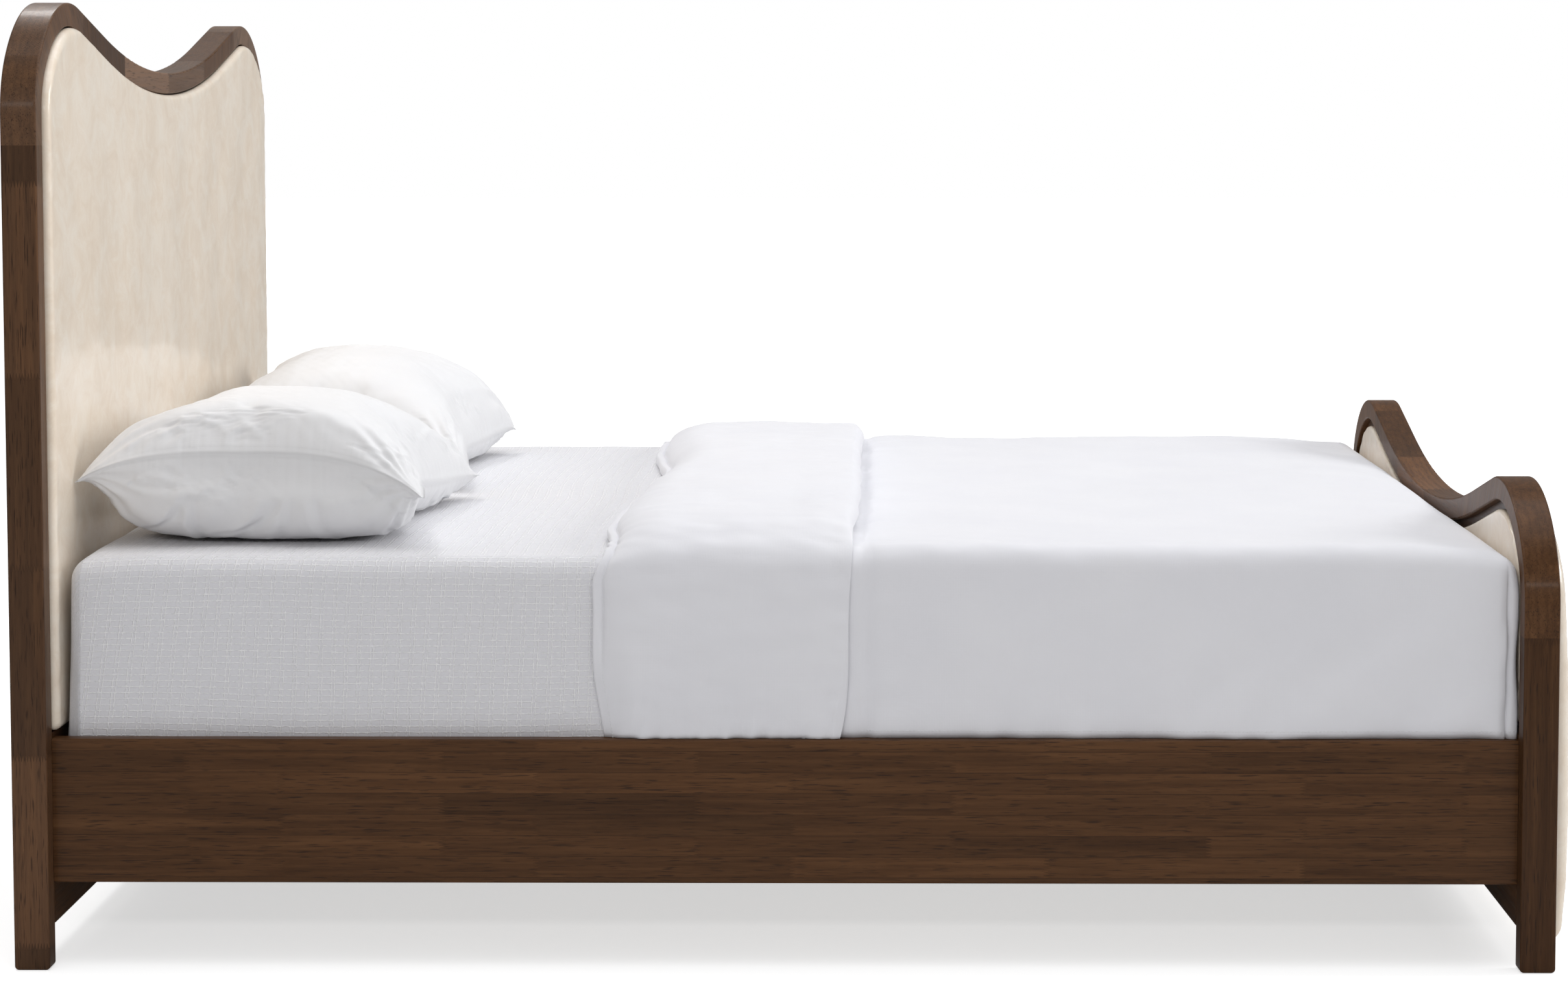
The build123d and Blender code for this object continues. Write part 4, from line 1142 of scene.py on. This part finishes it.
# Each piece's body, material slot, the nodes it stands for, and how full it is if it is padded.
for piece, body, slot, stands_for, fill in (
    (head_pad, "bed_frame", "cream_leather", ("headboard_cover", "headboard_foam"), 0.9),
    (inner_pad, "bed_frame", "cream_leather", ("footboard_inner_cover", "footboard_inner_foam"), 0.9),
    (outer_pad, "bed_frame", "cream_leather", ("footboard_outer_cover", "footboard_outer_foam"), 0.9),
    (mattress, "mattress", "mattress_ticking", ("mattress",), 1.0),
    (duvet, "duvet", "duvet_cotton", ("duvet",), 0.6),
    (fold, "duvet", "duvet_cotton", (), 0.6),
    (coverlet, "mattress", "waffle_cotton", ("coverlet",), None),
    (near_pillow, "pillow_left", "pillow_cotton", ("pillow_left",), 0.7),
    (far_pillow, "pillow_right", "pillow_cotton", ("pillow_right",), 0.7),
    (coverlet_stitches, "mattress", "waffle_cotton", (), None),
    (duvet_stitches, "duvet", "duvet_cotton", (), None),
    (flange_stitches, "duvet", "duvet_cotton", (), None),
    (mattress_piping, "mattress", "mattress_ticking", (), None),
):
    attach(piece, body)
    if stands_for:
        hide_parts(*stands_for)


# ---------------------------------------------------------------- floor, light and camera

def make_floor():
    """A pale floor that glows for the camera, a little less near the bed."""
    floor = new_piece("floor", [(-40, -40, 0), (40, -40, 0), (40, 40, 0), (-40, 40, 0)], [(0, 1, 2, 3)])
    f = Finish("Studio_floor")
    seen = add_node(f.tree, "ShaderNodeLightPath").outputs["Is Camera Ray"]
    far = f.out("VectorMath", {0: f.place()}, output=1, operation="LENGTH")
    level = f.out("MapRange", {"Value": far, "From Min": 1.6, "From Max": 4.0, "To Min": 0.60, "To Max": 1.0},
                  interpolation_type="SMOOTHSTEP")
    glow = f.out("Emission", {"Color": (1, 1, 1), "Strength": f.math("MULTIPLY", seen, level)})
    both = f.out("AddShader", {0: f.shader.outputs[0], 1: glow})
    f.tree.links.new(both, f.tree.nodes["Material Output"].inputs["Surface"])
    dress(f.made(Base_Color=(0.86, 0.86, 0.86), Roughness=0.9, Specular_IOR_Level=0.1), floor)
    floor.location.z = -0.0005


def make_world():
    """White where the camera sees it, and a soft fill for everything else."""
    world = bpy.data.worlds.new("Studio")
    bpy.context.scene.world = world
    world.use_nodes = True
    tree = world.node_tree
    seen = add_node(tree, "ShaderNodeLightPath").outputs["Is Camera Ray"]
    strength = add_node(tree, "ShaderNodeMath", {0: seen, 1: 0.30}, operation="MAXIMUM").outputs[0]
    background = tree.nodes["Background"]
    feed(tree, background.inputs[0], (1, 1, 1))
    feed(tree, background.inputs[1], strength)


def softbox(name, place, target, width, height, power, colour=(1, 1, 1)):
    lamp = bpy.data.lights.new(name, "AREA")
    lamp.shape = "RECTANGLE"
    lamp.size, lamp.size_y, lamp.energy, lamp.color = width, height, power, colour
    holder = placed(name, lamp)
    holder.location = place
    holder.rotation_euler = (Vector(target) - Vector(place)).to_track_quat("-Z", "Y").to_euler()


make_floor()
make_world()
softbox("top_softbox", (0.4, -0.3, 4.2), (0, 0, 0.5), 4.5, 3.5, 95, (0.97, 0.98, 1.0))
softbox("key_softbox", (-1.7, 1.9, 3.9), (0, 0, 0.6), 0.9, 0.9, 40, (1.0, 0.99, 0.98))
softbox("front_softbox", (0.0, -5.6, 2.45), (0, 0, 0.7), 6.5, 0.4, 60, (1.0, 0.985, 0.98))
softbox("foot_softbox", (8.4, 0.9, 3.7), (-0.8, 0, 0.9), 3.0, 3.0, 320)

lens = bpy.data.cameras.new("camera")
lens.sensor_width, lens.lens, lens.clip_end = 36, 73.52, 100
lens.shift_x, lens.shift_y = -0.0465, -0.1042
camera = placed("camera", lens)
camera.location = (0.1237, -5.2465, 1.2034)
camera.rotation_euler = (math.radians(90 - 3.82), 0, math.radians(0.438))
bpy.context.scene.camera = camera
bpy.context.scene.view_settings.view_transform = "Standard"
